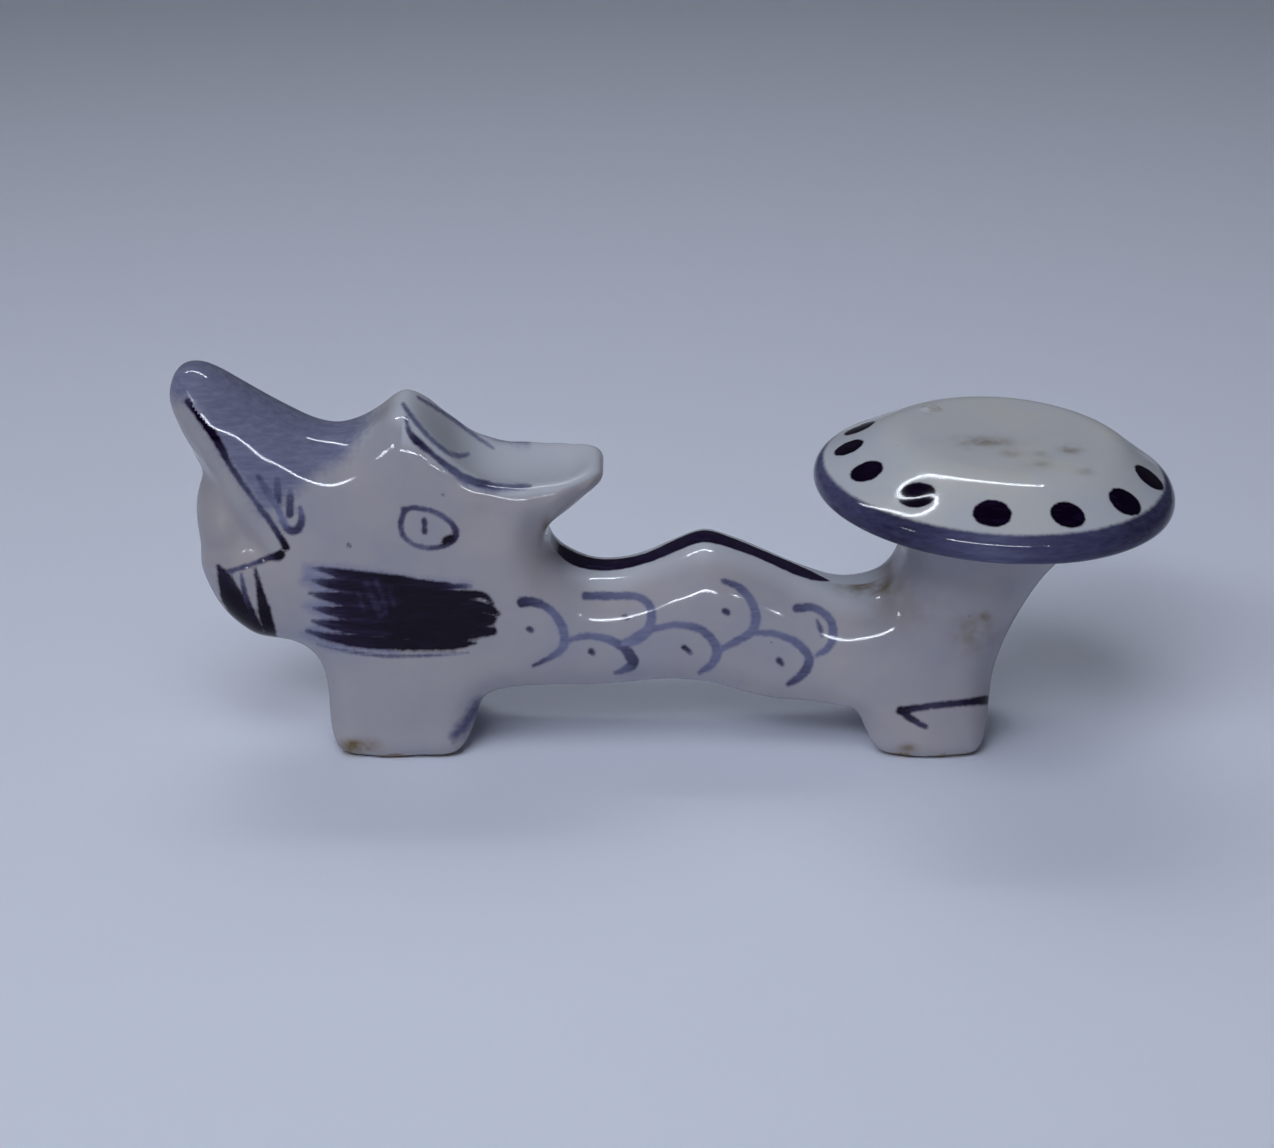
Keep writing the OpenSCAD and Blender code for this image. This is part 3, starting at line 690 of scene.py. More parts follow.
# Brush marks, in pixels of the view: points along the mark, widths and tones from its start
# to its end. A tone runs from 0, thin blue, to 1, nearly black
cheekMarks = {
    "upperLip": (
        [(188, 402), (202, 418), (219, 444), (230, 465), (254, 500), (272, 524), (285, 545)],
        (8, 10, 8.5, 6, 5, 6, 7), (0.8, 1, 0.95, 0.75, 0.6, 0.7, 0.95)),
    "upperLipTip": ([(283, 541), (286, 547)], (6, 8), (0.95, 1)),
    "lowerLip": (
        [(281, 554), (278, 556), (268, 558), (250.5, 565), (233, 570.5), (222, 574)],
        (9, 10, 6, 5, 5, 5), (1, 1, 0.8, 0.6, 0.62, 0.75)),
    "chinHairFront": (
        [(218.5, 566), (225, 579), (232, 597), (243, 615), (253, 631)],
        (4, 15, 22, 24, 16), (0.85, 0.95, 1, 1, 1)),
    "chinHairInner": (
        [(241, 574), (244.5, 594), (249, 613.5), (256, 630)],
        (3, 6.5, 13.5, 15.5), (0.5, 0.7, 0.95, 1)),
    "chinHairBack": (
        [(255, 568.5), (260, 590.5), (264.5, 611.5), (270, 632.5)],
        (3, 7.5, 13.5, 12.5), (0.75, 0.95, 1, 1)),
    "chinHem": ([(236, 612), (254, 630), (274, 637)], (8, 8, 5), (1, 1, 1)),
    "whiskerOne": (
        [(258, 477), (266, 489), (275, 503), (283, 519), (289, 528)],
        (5, 8, 8, 6, 4), (0.6, 0.55, 0.45, 0.4, 0.4)),
    "whiskerTwo": ([(277, 479), (277.5, 490), (278.5, 501)], (6, 8, 7), (0.5, 0.6, 0.65)),
    "whiskerThree": ([(290, 490), (290, 502), (290, 514)], (5, 8, 8), (0.5, 0.62, 0.7)),
    "whiskerCurl": (
        [(300, 508), (302, 519), (298, 529), (289, 530), (281, 521)],
        (5, 7, 9, 8, 5), (0.5, 0.6, 0.75, 0.65, 0.45)),
    "eyeRim": (
        [(404, 509), (415, 508), (428, 510), (439, 514), (449, 521), (456, 531), (453, 540), (444, 546),
         (429, 548), (415, 545), (404, 537), (400.5, 526), (403, 515), (406, 509)],
        (6, 5.5, 5, 5, 5.5, 6.5, 7, 5, 4.5, 4.5, 5, 6, 5.5, 6),
        (0.7, 0.62, 0.6, 0.58, 0.62, 0.75, 0.9, 0.75, 0.6, 0.55, 0.6, 0.68, 0.65, 0.7)),
    "eyeCorner": ([(446, 541), (451, 539)], (9, 10), (1, 1)),
    "pupil": ([(424, 520), (424.5, 532)], (5, 5.5), (0.72, 0.8)),
    "speckCheek": ([(348, 545), (350, 546)], (3, 3), (0.95, 0.95)),
    "speckBrow": ([(442, 495), (443, 495)], (2.2, 2.2), (0.75, 0.75)),
    "beardOne": (
        [(311.5, 567.5), (325.5, 570.5), (346.5, 575), (393.5, 581.5), (439, 586.5), (472, 586)],
        (1.5, 6.5, 12, 14.5, 10, 2), (0.5, 0.75, 0.93, 0.98, 0.95, 0.6)),
    "beardTwo": (
        [(312.5, 580.5), (329, 583.5), (352, 586), (400.5, 592), (449.5, 596), (481, 595), (493, 604)],
        (3, 10, 17, 18, 14.5, 7.5, 3.5), (0.6, 0.88, 0.96, 1, 1, 0.98, 0.9)),
    "beardThree": (
        [(309, 593.5), (329, 597), (355.5, 600.5), (407.5, 605.5), (456.5, 607), (484.5, 608), (498.5, 614)],
        (3, 10, 17.5, 19.5, 19, 12, 5), (0.6, 0.88, 0.96, 1, 1, 0.98, 1)),
    "beardFour": (
        [(313.5, 608), (331, 611), (359, 614), (407.5, 618), (456.5, 620.5), (490.5, 619.5)],
        (3, 10, 17.5, 20, 22.5, 12), (0.6, 0.88, 0.96, 1, 1, 0.98)),
    "beardFive": (
        [(312, 621), (331, 624.5), (359, 627), (407.5, 631), (456.5, 632.5), (493, 631)],
        (3, 10, 17.5, 19, 19, 9), (0.6, 0.88, 0.96, 1, 1, 0.98)),
    "beardSix": (
        [(306.5, 631), (329, 637), (359, 641), (407.5, 644.5), (453, 644.5), (475.5, 643)],
        (3, 8.5, 14, 12.5, 11, 3.5), (0.6, 0.85, 0.94, 1, 1, 0.95)),
    "beardHem": (
        [(317.5, 644), (345, 651), (386.5, 656), (428.5, 655.5), (468.5, 653)],
        (1.5, 3, 3.5, 3, 1.5), (0.5, 0.55, 0.62, 0.6, 0.45)),
    "scaleOne": (
        [(522, 602), (537, 603), (552.5, 612), (563, 629), (563, 647), (551, 657), (533, 666)],
        (11, 9, 8, 9.5, 9, 6, 3.5), (0.8, 0.6, 0.45, 0.45, 0.4, 0.5, 0.7)),
    "scaleOneDot": ([(529, 629), (531, 630)], (6, 6), (0.75, 0.7)),
    "scaleTwo": (
        [(566.5, 641), (586, 636), (607, 639), (624, 648), (633, 661), (628, 668), (615, 673)],
        (5, 7, 8, 10, 12, 9, 4), (0.4, 0.45, 0.4, 0.6, 0.7, 0.55, 0.45)),
    "scaleTwoDot": ([(591, 651), (593, 653)], (6, 5), (0.75, 0.7)),
    "scaleThree": (
        [(586, 596), (614, 596), (638, 597), (650, 606.5), (650, 626), (638, 638), (621, 645)],
        (9, 8, 8, 8.5, 10, 13, 9), (0.55, 0.48, 0.42, 0.5, 0.4, 0.42, 0.35)),
    "scaleThreeDot": ([(624, 617), (627, 618)], (5, 5), (0.7, 0.7)),
    "scaleFour": (
        [(653, 629), (672, 625), (694, 627), (710, 637), (717, 653), (711, 665), (700, 672)],
        (6, 7, 8, 9, 10, 8, 5), (0.45, 0.42, 0.45, 0.5, 0.42, 0.45, 0.5)),
    "scaleFourDot": ([(684, 647), (688, 650), (691, 654)], (5, 6, 3), (0.8, 0.75, 0.5)),
    "scaleFive": (
        [(724, 581), (740, 588), (752, 603), (756, 620), (750, 633), (735, 642), (720, 650)],
        (6, 8, 9, 10, 9, 8, 5), (0.6, 0.5, 0.42, 0.45, 0.42, 0.45, 0.4)),
    "scaleFiveDot": ([(725, 611), (728, 613)], (6, 5), (0.75, 0.7)),
    "scaleSix": (
        [(750, 633), (775, 634), (795, 642), (808, 655), (807, 668), (798, 678), (788, 684)],
        (5, 7, 8, 9, 10, 8, 5), (0.45, 0.42, 0.48, 0.5, 0.6, 0.6, 0.7)),
    "scaleSixDot": ([(779, 660), (782, 664)], (6, 5), (0.75, 0.7)),
    "scaleSeven": (
        [(797, 608), (815, 608), (830, 620), (833, 635), (828, 648), (816, 656)],
        (9, 8, 8, 9, 8, 4), (0.6, 0.5, 0.45, 0.45, 0.45, 0.4)),
    "scaleSevenInner": ([(817, 620), (820, 628), (822, 636)], (3, 5, 3.5), (0.5, 0.55, 0.5)),
    "footMarkTop": ([(986, 700), (960, 703), (930, 706), (900, 711)], (9, 7, 7, 8), (1, 0.85, 0.75, 0.95)),
    "footMarkFoot": ([(900, 710), (912, 719), (926, 727)], (8, 7, 5), (0.95, 0.85, 0.7)),
}
crestMarks = {
    "crestNear": (
        [(406, 418), (409, 431), (417, 441), (430, 452), (446, 465), (463.5, 477), (484, 484), (505, 487),
         (530, 486)],
        (3, 5, 9, 6, 7, 8, 8, 5, 3), (0.5, 0.6, 0.85, 0.65, 0.58, 0.5, 0.68, 0.45, 0.58)),
    "crestMiddle": (
        [(403, 404), (411, 416), (429, 437), (446, 451), (458, 456), (468, 454)],
        (4, 5, 4.5, 5, 5.5, 4), (0.5, 0.5, 0.42, 0.42, 0.45, 0.4)),
    "crestFar": ([(418, 397), (446, 414.5), (474, 435), (493, 448)], (3, 4, 4, 3), (0.5, 0.45, 0.4, 0.35)),
}
wornLines = [  # thin places in the beard's paint: points, width, how much lighter
    ([(366, 584), (374, 600), (380, 616)], 5, 0.088),
    ([(376, 582), (383, 598), (386, 612)], 4, 0.11),
    ([(390, 592), (394, 606)], 4, 0.077),
    ([(358, 592), (364, 610)], 3, 0.077),
    ([(372, 602), (398, 604)], 3, 0.066),
    ([(330, 590), (372, 596)], 3, 0.077),
    ([(330, 603), (380, 608)], 3, 0.077),
    ([(334, 616), (376, 621)], 3, 0.066),
    ([(340, 578), (390, 586)], 3, 0.055),
    ([(336, 630), (390, 634)], 3, 0.066),
]
washes = {  # soft washes of thin blue: outline, softness at its edge, tone
    "snout": (
        [(120, 330), (400, 385), (385, 402), (365, 430), (345, 458), (315, 474), (287, 500), (262, 512),
         (240, 480), (190, 402), (150, 400)],
        14, 0.32),
    "crest": ([(455, 478), (480, 480), (500, 484), (526, 484), (524, 489), (490, 493), (465, 486)], 5, 0.3),
    "beard": (
        [(305, 564), (345, 566), (420, 578), (470, 583), (440, 600), (350, 600), (400, 655), (330, 649),
         (300, 634), (322, 620), (302, 606), (322, 596), (300, 582)],
        7, 0.2),
    "frontFoot": (
        [(482, 697), (474, 700), (463, 718), (450, 735), (453, 742), (466, 734), (480, 712)],
        7, 0.55),
}
ridge = {  # the black line along the back: distances behind the neck and half widths
    "places": [
        (0.0, 1.2), (2.0, 1.7), (5.0, 1.5), (9.0, 1.3), (13.0, 1.6), (16.0, 1.6), (20.0, 1.3),
        (24.0, 1.5), (25.8, 1.2), (27.4, 0.3), (28.3, -0.6),
    ],
    "offset": 0.2,
    "tone": 0.9,
    "length": 30,
    "heights": (12, 24),
    "leastRise": 0.2,
}
painting = {
    "perSpan": 4,  # points on a stroke from one of its points to the next
    "pixel": 0.0992,  # millimetres of the object in a pixel of the view
    "facing": 0.25,  # how far a surface may turn away and still take paint
    "bare": -3.0,  # edge distance where there is no paint
    "plainTone": 0.5,
    "washTone": 0.3,
    "reach": 12,
    "topRise": 0.45,  # from here on, a surface belongs to the crest's top
    "topHeight": 24,
    "crestBehindNeck": 6,
    # painted light: rises of the normal over which the tops are painted paler, starting lower inside the crest
    "paintedTopLightRise": (0.7, 1.0),
    "crestPaintedTopLightRise": (0.4, 0.75),
    "crestFrom": (12, 27),  # distance behind the jaw joint and height
}
stainsAndShade = {  # brown kiln marks, and one painted shade on the stem under the disc: place in the view, reach in pixels, strength
    "saddle": ((872, 586), (30, 9), 1.0),
    # painted shade: the stem made darker under the disc
    "stemPaintedShade": ((905, 603), (40, 26), 0.28),
    "stemSpot": ((985, 617), (6, 5), 1.0),
    "stemSmudge": ((973, 634), (22, 18), 0.6),
    "soleFront": ((357, 746), (20, 6), 1.5),
    "soleRear": ((908, 748), (9, 4), 0.8),
    "notch": ((546, 527), (4, 9), 0.7),
    "pock": ((931, 409), (6, 4), 0.8),
    "discOne": ((985, 442), (30, 6), 0.65),
    "discTwo": ((1010, 453), (12, 4), 0.5),
    "discThree": ((1040, 455), (12, 4), 0.4),
    "discFour": ((1070, 449), (11, 5), 0.75),
    "discFive": ((1087, 471), (9, 4), 0.5),
    "discSix": ((1038, 464), (12, 4), 0.45),
}
dots = {  # ring of dots and band on the disc, in millimetres of its own frame
    "radii": (14.1, 14.4, 14.7, 14.8, 14.6, 14.6, 14.6, 14.6, 14.4, 14.3, 14.3, 13.9, 13.6),
    "half": 1.75,
    "flatter": 0.86,  # share of the half width that is left along the radius
    "angles": (-98, -69, -41, -14, 16, 45, 74, 103, 131, 154, 175, -159, -129.5),
    "sizes": (1.04, 0.98, 1.02, 1.0, 0.94, 0.98, 1.0, 0.96, 0.95, 0.95, 0.92, 1.0, 1.05),
    "tone": 1.0,
    "bandTone": 0.72,
    "bandPatches": ((-128, 16, 0.16), (-98, 13, -0.16), (-40, 20, 0.14), (175, 25, -0.1), (60, 30, 0.1)),
    "bandRadius": 16.5,
    "bandSway": 0.2,
    "bandTurn": 30,
    "bandSoftness": 0.3,
    "underRadius": 15.6,
    "bandBelow": -4.3,
    "underBelow": -4.5,
    "dotsAbove": -3.6,
    "stainAndShadeAbove": -3,
}


def strokePath(points):
    points = np.array(points, float)
    if len(points) < 3:
        return points
    padded = np.vstack([2 * points[0] - points[1], points, 2 * points[-1] - points[-2]])
    curve = spline(padded[:-3], padded[1:-2], padded[2:-1], padded[3:], painting["perSpan"])
    return np.vstack([curve, points[-1:]])


def valueAt(values, share):
    return np.interp(share, np.linspace(0, 1, len(values)), values)


def brush(spots, allowed, marks, edge, tone):
    # Adds marks to the edge distance (mm, positive in the paint) and to the tone
    for points, widths, tones in marks.values():
        path = strokePath(points)
        spanCount = len(path) - 1
        reach = max(widths) + painting["reach"]
        near = (spots > path.min(axis=0) - reach) & (spots < path.max(axis=0) + reach)
        chosen = np.flatnonzero(allowed & near.all(axis=1))
        if not len(chosen):
            continue
        for k in range(spanCount):
            away, share = segmentDistance(spots[chosen], path[k], path[k + 1])
            share = (k + share) / spanCount
            value = (valueAt(widths, share) / 2 - away) * painting["pixel"]
            better = value > edge[chosen]
            edge[chosen[better]] = value[better]
            tone[chosen[better]] = valueAt(tones, share)[better]


def positionsOf(mesh):
    co = np.empty(len(mesh.vertices) * 3)
    mesh.vertices.foreach_get("co", co)
    return co.reshape(-1, 3)


# Brown kiln marks and the painted shade under the disc, as a share on each vertex
def stainAndShadeOn(spots, allowed):
    stainAndShade = np.zeros(len(spots))
    for place, reach, strength in stainsAndShade.values():
        offset = (spots - place) / reach
        stainAndShade = np.maximum(stainAndShade, strength * np.exp(-(offset ** 2).sum(axis=1)) * allowed)
    return stainAndShade


def storeLayers(mesh, layers):
    for name, values in layers.items():
        layer = mesh.attributes.new(name, "FLOAT", "POINT")
        layer.data.foreach_set("value", values.astype(np.float32))


def wearPaint(spots, tone):
    # Makes the beard's paint lighter where it is thin
    for points, width, lighter in wornLines:
        path = strokePath(points)
        away = np.min([segmentDistance(spots, a, b)[0] for a, b in zip(path, path[1:])], axis=0)
        tone -= lighter * np.clip(2 - 2 * away / width, 0, 1)


def paintRidge(co, normals, edge, tone):
    places = np.array(ridge["places"])
    lowest, highest = ridge["heights"]
    behind = co[:, 0] - neckX
    half = np.interp(behind, places[:, 0], places[:, 1])
    onRidge = (behind > 0) & (behind < ridge["length"]) & (normals[:, 2] > ridge["leastRise"])
    onRidge &= (co[:, 2] > lowest) & (co[:, 2] < highest)
    value = np.where(onRidge, half - np.abs(co[:, 1] - ridge["offset"]), painting["bare"])
    better = value > edge
    edge[better] = value[better]
    tone[better] = ridge["tone"]


def washOn(spots, facing):
    washEdge = np.full(len(spots), painting["bare"])
    washTone = np.full(len(spots), painting["washTone"])
    for points, softness, washShade in washes.values():
        away = -outlineDistance(spots, np.array(points, float)) / softness
        better = facing & (away > washEdge)
        washEdge[better] = away[better]
        washTone[better] = washShade
    return washEdge, washTone


def paint(mesh, normals):
    # Stores where the painter's marks lie, as distances and tones on the vertices
    co = positionsOf(mesh) / mm
    far = co[:, 1:2] > 0  # the far side is painted like the near one
    folded = np.where(far, co * (1, -1, 1), co)
    foldedNormals = np.where(far, normals * (1, -1, 1), normals)
    spots = toPicture(folded)
    facing = (foldedNormals @ viewAxes()[0]) < painting["facing"]
    edge = np.full(len(co), painting["bare"])
    tone = np.full(len(co), painting["plainTone"])
    onTop = (normals[:, 2] > painting["topRise"]) & (co[:, 2] > painting["topHeight"])
    brush(spots, facing & ~onTop, cheekMarks, edge, tone)
    brush(toPicture(co), onTop & (co[:, 0] < neckX + painting["crestBehindNeck"]), crestMarks, edge, tone)
    wearPaint(spots, tone)
    paintRidge(co, normals, edge, tone)
    washEdge, washTone = washOn(spots, facing)
    # Painted light: surfaces that face upwards are painted paler
    crestBehind, crestHeight = painting["crestFrom"]
    paintedTopLight = np.where((co[:, 2] > crestHeight) & (co[:, 0] > jawX + crestBehind),
                      smoothStep(*painting["crestPaintedTopLightRise"], normals[:, 2]),
                      smoothStep(*painting["paintedTopLightRise"], normals[:, 2]))
    storeLayers(mesh, {
        "inkEdge": edge, "inkTone": tone, "washEdge": washEdge, "washTone": washTone,
        "stainAndShade": stainAndShadeOn(spots, facing & (co[:, 1] < 0)), "paintedTopLight": paintedTopLight,
    })


def paintDisc(mesh):
    # The ring of dots and the band round the rim
    co = positionsOf(mesh) / mm
    back = np.array((Matrix.Translation(discTop) @ Matrix.Rotation(discTilt, 4, "Y")).inverted())
    local = co @ back[:3, :3].T + back[:3, 3]
    radius = np.hypot(local[:, 0], local[:, 1])
    edge = np.full(len(co), painting["bare"])
    for at, size, ring in zip(np.radians(dots["angles"]), dots["sizes"], dots["radii"]):
        way = np.array([math.cos(at), math.sin(at)])
        offset = local[:, :2] - way * ring
        away = np.hypot(offset @ way / dots["flatter"], offset @ (-way[1], way[0]))
        value = np.where(local[:, 2] > dots["dotsAbove"], dots["half"] * size - away, painting["bare"])
        edge = np.maximum(edge, value)
    angle = np.degrees(np.arctan2(local[:, 1], local[:, 0]))
    sway = dots["bandSway"] * np.cos(np.radians(angle + dots["bandTurn"]))
    band = np.where(local[:, 2] > dots["bandBelow"], radius - dots["bandRadius"] + sway, 1.0)
    band = np.where(local[:, 2] < dots["underBelow"], radius - dots["underRadius"], band)
    bandTone = dots["bandTone"] + sum(
        lift * np.exp(-(((angle - at + 180) % 360 - 180) / reach) ** 2)
        for at, reach, lift in dots["bandPatches"])
    storeLayers(mesh, {
        "inkEdge": edge, "inkTone": np.full(len(co), dots["tone"]),
        "washEdge": band / dots["bandSoftness"], "washTone": bandTone,
        "stainAndShade": stainAndShadeOn(toPicture(co), local[:, 2] > dots["stainAndShadeAbove"]), "paintedTopLight": np.zeros(len(co)),
    })


def newGroup(name, inputs, outputs):
    tree = bpy.data.node_groups.new(name, "ShaderNodeTree")
    for label, kind, default in inputs:
        socket = tree.interface.new_socket(label, in_out="INPUT", socket_type=kind)
        if default is not None:
            socket.default_value = default
    for label, kind in outputs:
        tree.interface.new_socket(label, in_out="OUTPUT", socket_type=kind)
    return tree


# How the paint and the glaze look. A noise is a scale per millimetre, a detail and a roughness
brushLook = {
    "edgeNoise": (1.6, 3.0, 0.6),
    "streakStretch": (0.35, 1.0, 2.2),
    "streakNoise": (1.1, 4.0, 0.65),
}


def makeBrushGroup():
    # Turns an edge distance into a mask with the uneven edge and streaks of a brush
    tree = newGroup("brushMark", [
        ("Edge", "NodeSocketFloat", 0.0), ("Tone", "NodeSocketFloat", 0.5), ("Place", "NodeSocketVector", None),
        ("Softness", "NodeSocketFloat", 0.1), ("Ragged", "NodeSocketFloat", 0.15),
        ("Streaks", "NodeSocketFloat", 0.2),
    ], [("Mask", "NodeSocketFloat"), ("Tone", "NodeSocketFloat")])
    t = Tree(tree)
    given = t.node("NodeGroupInput").outputs
    rough = t.noise(given["Place"], brushLook["edgeNoise"])
    lifted = t.math("MULTIPLY_ADD", t.minus(rough, 0.5), given["Ragged"], given["Edge"])
    mask = t.ranged(lifted, t.times(given["Softness"], -1.0), given["Softness"], kind="SMOOTHSTEP")
    stretch = t.node("ShaderNodeMapping", Vector=given["Place"], Scale=brushLook["streakStretch"]).outputs[0]
    streak = t.noise(stretch, brushLook["streakNoise"])
    tone = t.math("MULTIPLY_ADD", t.minus(streak, 0.5), given["Streaks"], given["Tone"])
    t.node("NodeGroupOutput", i0=mask, i1=tone)
    return tree


grainLook = {
    "cloudNoise": (0.11, 3.0, 0.55),
    "cloudRange": (0.35, 0.65),
    "speckScale": 0.42,
    "speckSize": (0.035, 0.06),
    "speckAbove": 0.93,  # the share of the cells that has none
    "speckColor": (0.08, 0.06, 0.05, 1),
    "waveNoise": (0.28, 2.0, 0.5),
    "peelNoise": (2.4, 2.0, 0.5),
    "peelShare": 0.13,
    "sheenRange": (0.3, 0.7, 0.06, 0.11),  # from cloud tones to roughness
}


def makeGlazeGroup():
    # The glaze's own unevenness: tone, fine iron specks, ripples
    tree = newGroup("glazeGrain", [
        ("Place", "NodeSocketVector", None), ("Warm", "NodeSocketColor", (1, 1, 1, 1)),
        ("Cool", "NodeSocketColor", (1, 1, 1, 1)), ("Speck Amount", "NodeSocketFloat", 0.5),
    ], [("Color", "NodeSocketColor"), ("Ripple", "NodeSocketFloat"), ("Roughness", "NodeSocketFloat")])
    t = Tree(tree)
    given = t.node("NodeGroupInput").outputs
    cloud = t.noise(given["Place"], grainLook["cloudNoise"])
    base = t.mix(t.ranged(cloud, *grainLook["cloudRange"]), given["Cool"], given["Warm"])
    cells = t.node("ShaderNodeTexVoronoi", Vector=given["Place"], Scale=grainLook["speckScale"])
    pick = t.node("ShaderNodeSeparateColor", i0=cells.outputs["Color"]).outputs[0]
    small = t.ranged(cells.outputs["Distance"], *grainLook["speckSize"], 1.0, 0.0)
    speck = t.times(small, t.math("GREATER_THAN", pick, grainLook["speckAbove"]))
    color = t.mix(t.times(speck, given["Speck Amount"]), base, grainLook["speckColor"])
    wave = t.noise(given["Place"], grainLook["waveNoise"])
    peel = t.noise(given["Place"], grainLook["peelNoise"])
    ripple = t.math("MULTIPLY_ADD", peel, grainLook["peelShare"], wave)
    t.node("NodeGroupOutput", i0=color, i1=ripple, i2=t.ranged(cloud, *grainLook["sheenRange"]))
    return tree


brushGroup = makeBrushGroup()
glazeGroup = makeGlazeGroup()

# Painted light and shade: these are all the same porcelain, but the body, snout and web glazes are made darker
# and the disc's lighter, standing in for shade on the body's sides and light on the disc's top
glazes = {
    "body": {
        "warm": (0.42, 0.395, 0.415, 1), "cool": (0.36, 0.355, 0.41, 1),
        "specks": 0.5, "inkSoftness": 0.18, "bareTo": 0.35,  # height of the glaze's lower edge
    },
    "snout": {
        "warm": (0.405, 0.39, 0.41, 1), "cool": (0.35, 0.345, 0.405, 1),
        "specks": 0.4, "inkSoftness": 0.18, "bareTo": 0.0,
    },
    "web": {
        "warm": (0.41, 0.38, 0.395, 1), "cool": (0.36, 0.345, 0.385, 1),
        "specks": 0.3, "inkSoftness": 0.18, "bareTo": 0.0,
    },
    "disc": {
        "warm": (0.56, 0.56, 0.55, 1), "cool": (0.50, 0.52, 0.58, 1),
        "specks": 0.6, "inkSoftness": 0.14, "bareTo": 0.0,
    },
}
layerLook = {
    "paintedTopLightShare": 0.8,  # painted light: how much paler the tops are painted
    "paintedTopLightColor": (0.57, 0.59, 0.66, 1),
    "stainAndShadeNoise": (0.55, 3.0, 0.5),
    "stainAndShadeRange": (0.25, 0.6),
    "stainAndShadeColor": (0.17, 0.125, 0.065, 1),
    "washSoftness": 0.8,
    "washBrush": {"Ragged": 1.0, "Streaks": 0.4},
    "washRamp": [
        (0.0, (0.365, 0.365, 0.48, 1)), (0.35, (0.17, 0.176, 0.28, 1)), (0.65, (0.075, 0.075, 0.155, 1)),
        (1.0, (0.018, 0.016, 0.045, 1)),
    ],
    "inkBrush": {"Ragged": 0.35, "Streaks": 0.3},
    "inkRamp": [
        (0.0, (0.39, 0.40, 0.54, 1)), (0.4, (0.185, 0.195, 0.32, 1)), (0.65, (0.065, 0.065, 0.13, 1)),
        (0.9, (0.013, 0.006, 0.030, 1)), (1.0, (0.003, 0.0, 0.008, 1)),
    ],
    "clayNoise": (0.35, 4.0, 0.6),
    "clayWander": 3.6,  # how far the glaze's edge goes up and down, in millimetres
    "clayRange": (-0.15, 0.25),
    "clayColors": ((0.16, 0.115, 0.075, 1), (0.32, 0.25, 0.18, 1)),
    "clayRoughness": 0.55,
    "rippleStrength": 0.5,
    "rippleDepth": 0.03,
    "refraction": 1.22,
}


def setRamp(ramp, stops):
    ramp = ramp.color_ramp
    while len(ramp.elements) < len(stops):
        ramp.elements.new(0.5)
    for element, (place, color) in zip(ramp.elements, stops):
        element.position = place
        element.color = color


def makeGlaze(name, look):
    material = bpy.data.materials.new(name)
    material.use_nodes = True
    tree = material.node_tree
    tree.nodes.clear()
    t = Tree(tree)
    coordinates = t.node("ShaderNodeTexCoord").outputs["Object"]
    place = t.scaled(coordinates, 1 / mm)

    def group(which, **inputs):
        return t.node("ShaderNodeGroup", {"node_tree": which}, Place=place, **inputs).outputs

    def layer(attribute):
        return t.node("ShaderNodeAttribute", {"attribute_name": attribute}).outputs["Fac"]

    def painted(color, kind, softness):
        # Lays the washes or the ink marks over a colour
        mark = group(brushGroup, Edge=layer(kind + "Edge"), Tone=layer(kind + "Tone"), Softness=softness,
                     **layerLook[kind + "Brush"])
        ramp = t.node("ShaderNodeValToRGB", i0=mark["Tone"])
        setRamp(ramp, layerLook[kind + "Ramp"])
        return t.mix(mark["Mask"], color, ramp.outputs[0])

    grain = group(glazeGroup, i1=look["warm"], i2=look["cool"], i3=look["specks"])
    # Painted light that makes the tops paler, then brown kiln marks together with a painted shade on the stem
    paintedTopLight = t.times(layer("paintedTopLight"), layerLook["paintedTopLightShare"])
    color = t.mix(paintedTopLight, grain["Color"], layerLook["paintedTopLightColor"])
    stainAndShadeNoise = t.noise(place, layerLook["stainAndShadeNoise"])
    stainedAndShaded = t.times(layer("stainAndShade"), t.ranged(stainAndShadeNoise, *layerLook["stainAndShadeRange"]))
    color = t.mix(stainedAndShaded, color, layerLook["stainAndShadeColor"])
    color = painted(color, "wash", layerLook["washSoftness"])
    color = painted(color, "ink", look["inkSoftness"])
    rough = grain["Roughness"]
    if look["bareTo"] > 0:  # unglazed clay round the soles
        height = t.node("ShaderNodeSeparateXYZ", Vector=place).outputs[2]
        uneven = t.noise(place, layerLook["clayNoise"])
        line = t.math("MULTIPLY_ADD", t.minus(uneven, 0.5), layerLook["clayWander"], look["bareTo"])
        bare = t.ranged(t.minus(line, height), *layerLook["clayRange"], kind="SMOOTHSTEP")
        color = t.mix(bare, color, t.mix(uneven, *layerLook["clayColors"]))
        rough = t.math("MULTIPLY_ADD", bare, layerLook["clayRoughness"], rough)
    bump = t.node("ShaderNodeBump", Height=grain["Ripple"], Strength=layerLook["rippleStrength"],
                  Distance=layerLook["rippleDepth"] * mm)
    shader = t.node("ShaderNodeBsdfPrincipled")
    t.feed(shader.inputs["Base Color"], color)
    t.feed(shader.inputs["Roughness"], rough)
    t.feed(shader.inputs["Normal"], bump.outputs[0])
    shader.inputs["IOR"].default_value = layerLook["refraction"]
    output = t.node("ShaderNodeOutputMaterial")
    tree.links.new(shader.outputs[0], output.inputs[0])
    return material


materials = {name: makeGlaze(name + "Glaze", look) for name, look in glazes.items()}
print("materials done:", len(materials), "glazes")


def addPiece(name, mesh, node, material):
    mesh.name = name
    mesh.materials.clear()
    mesh.materials.append(material)
    piece = addObject(name, mesh)
    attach(piece, "root")
    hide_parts(node)


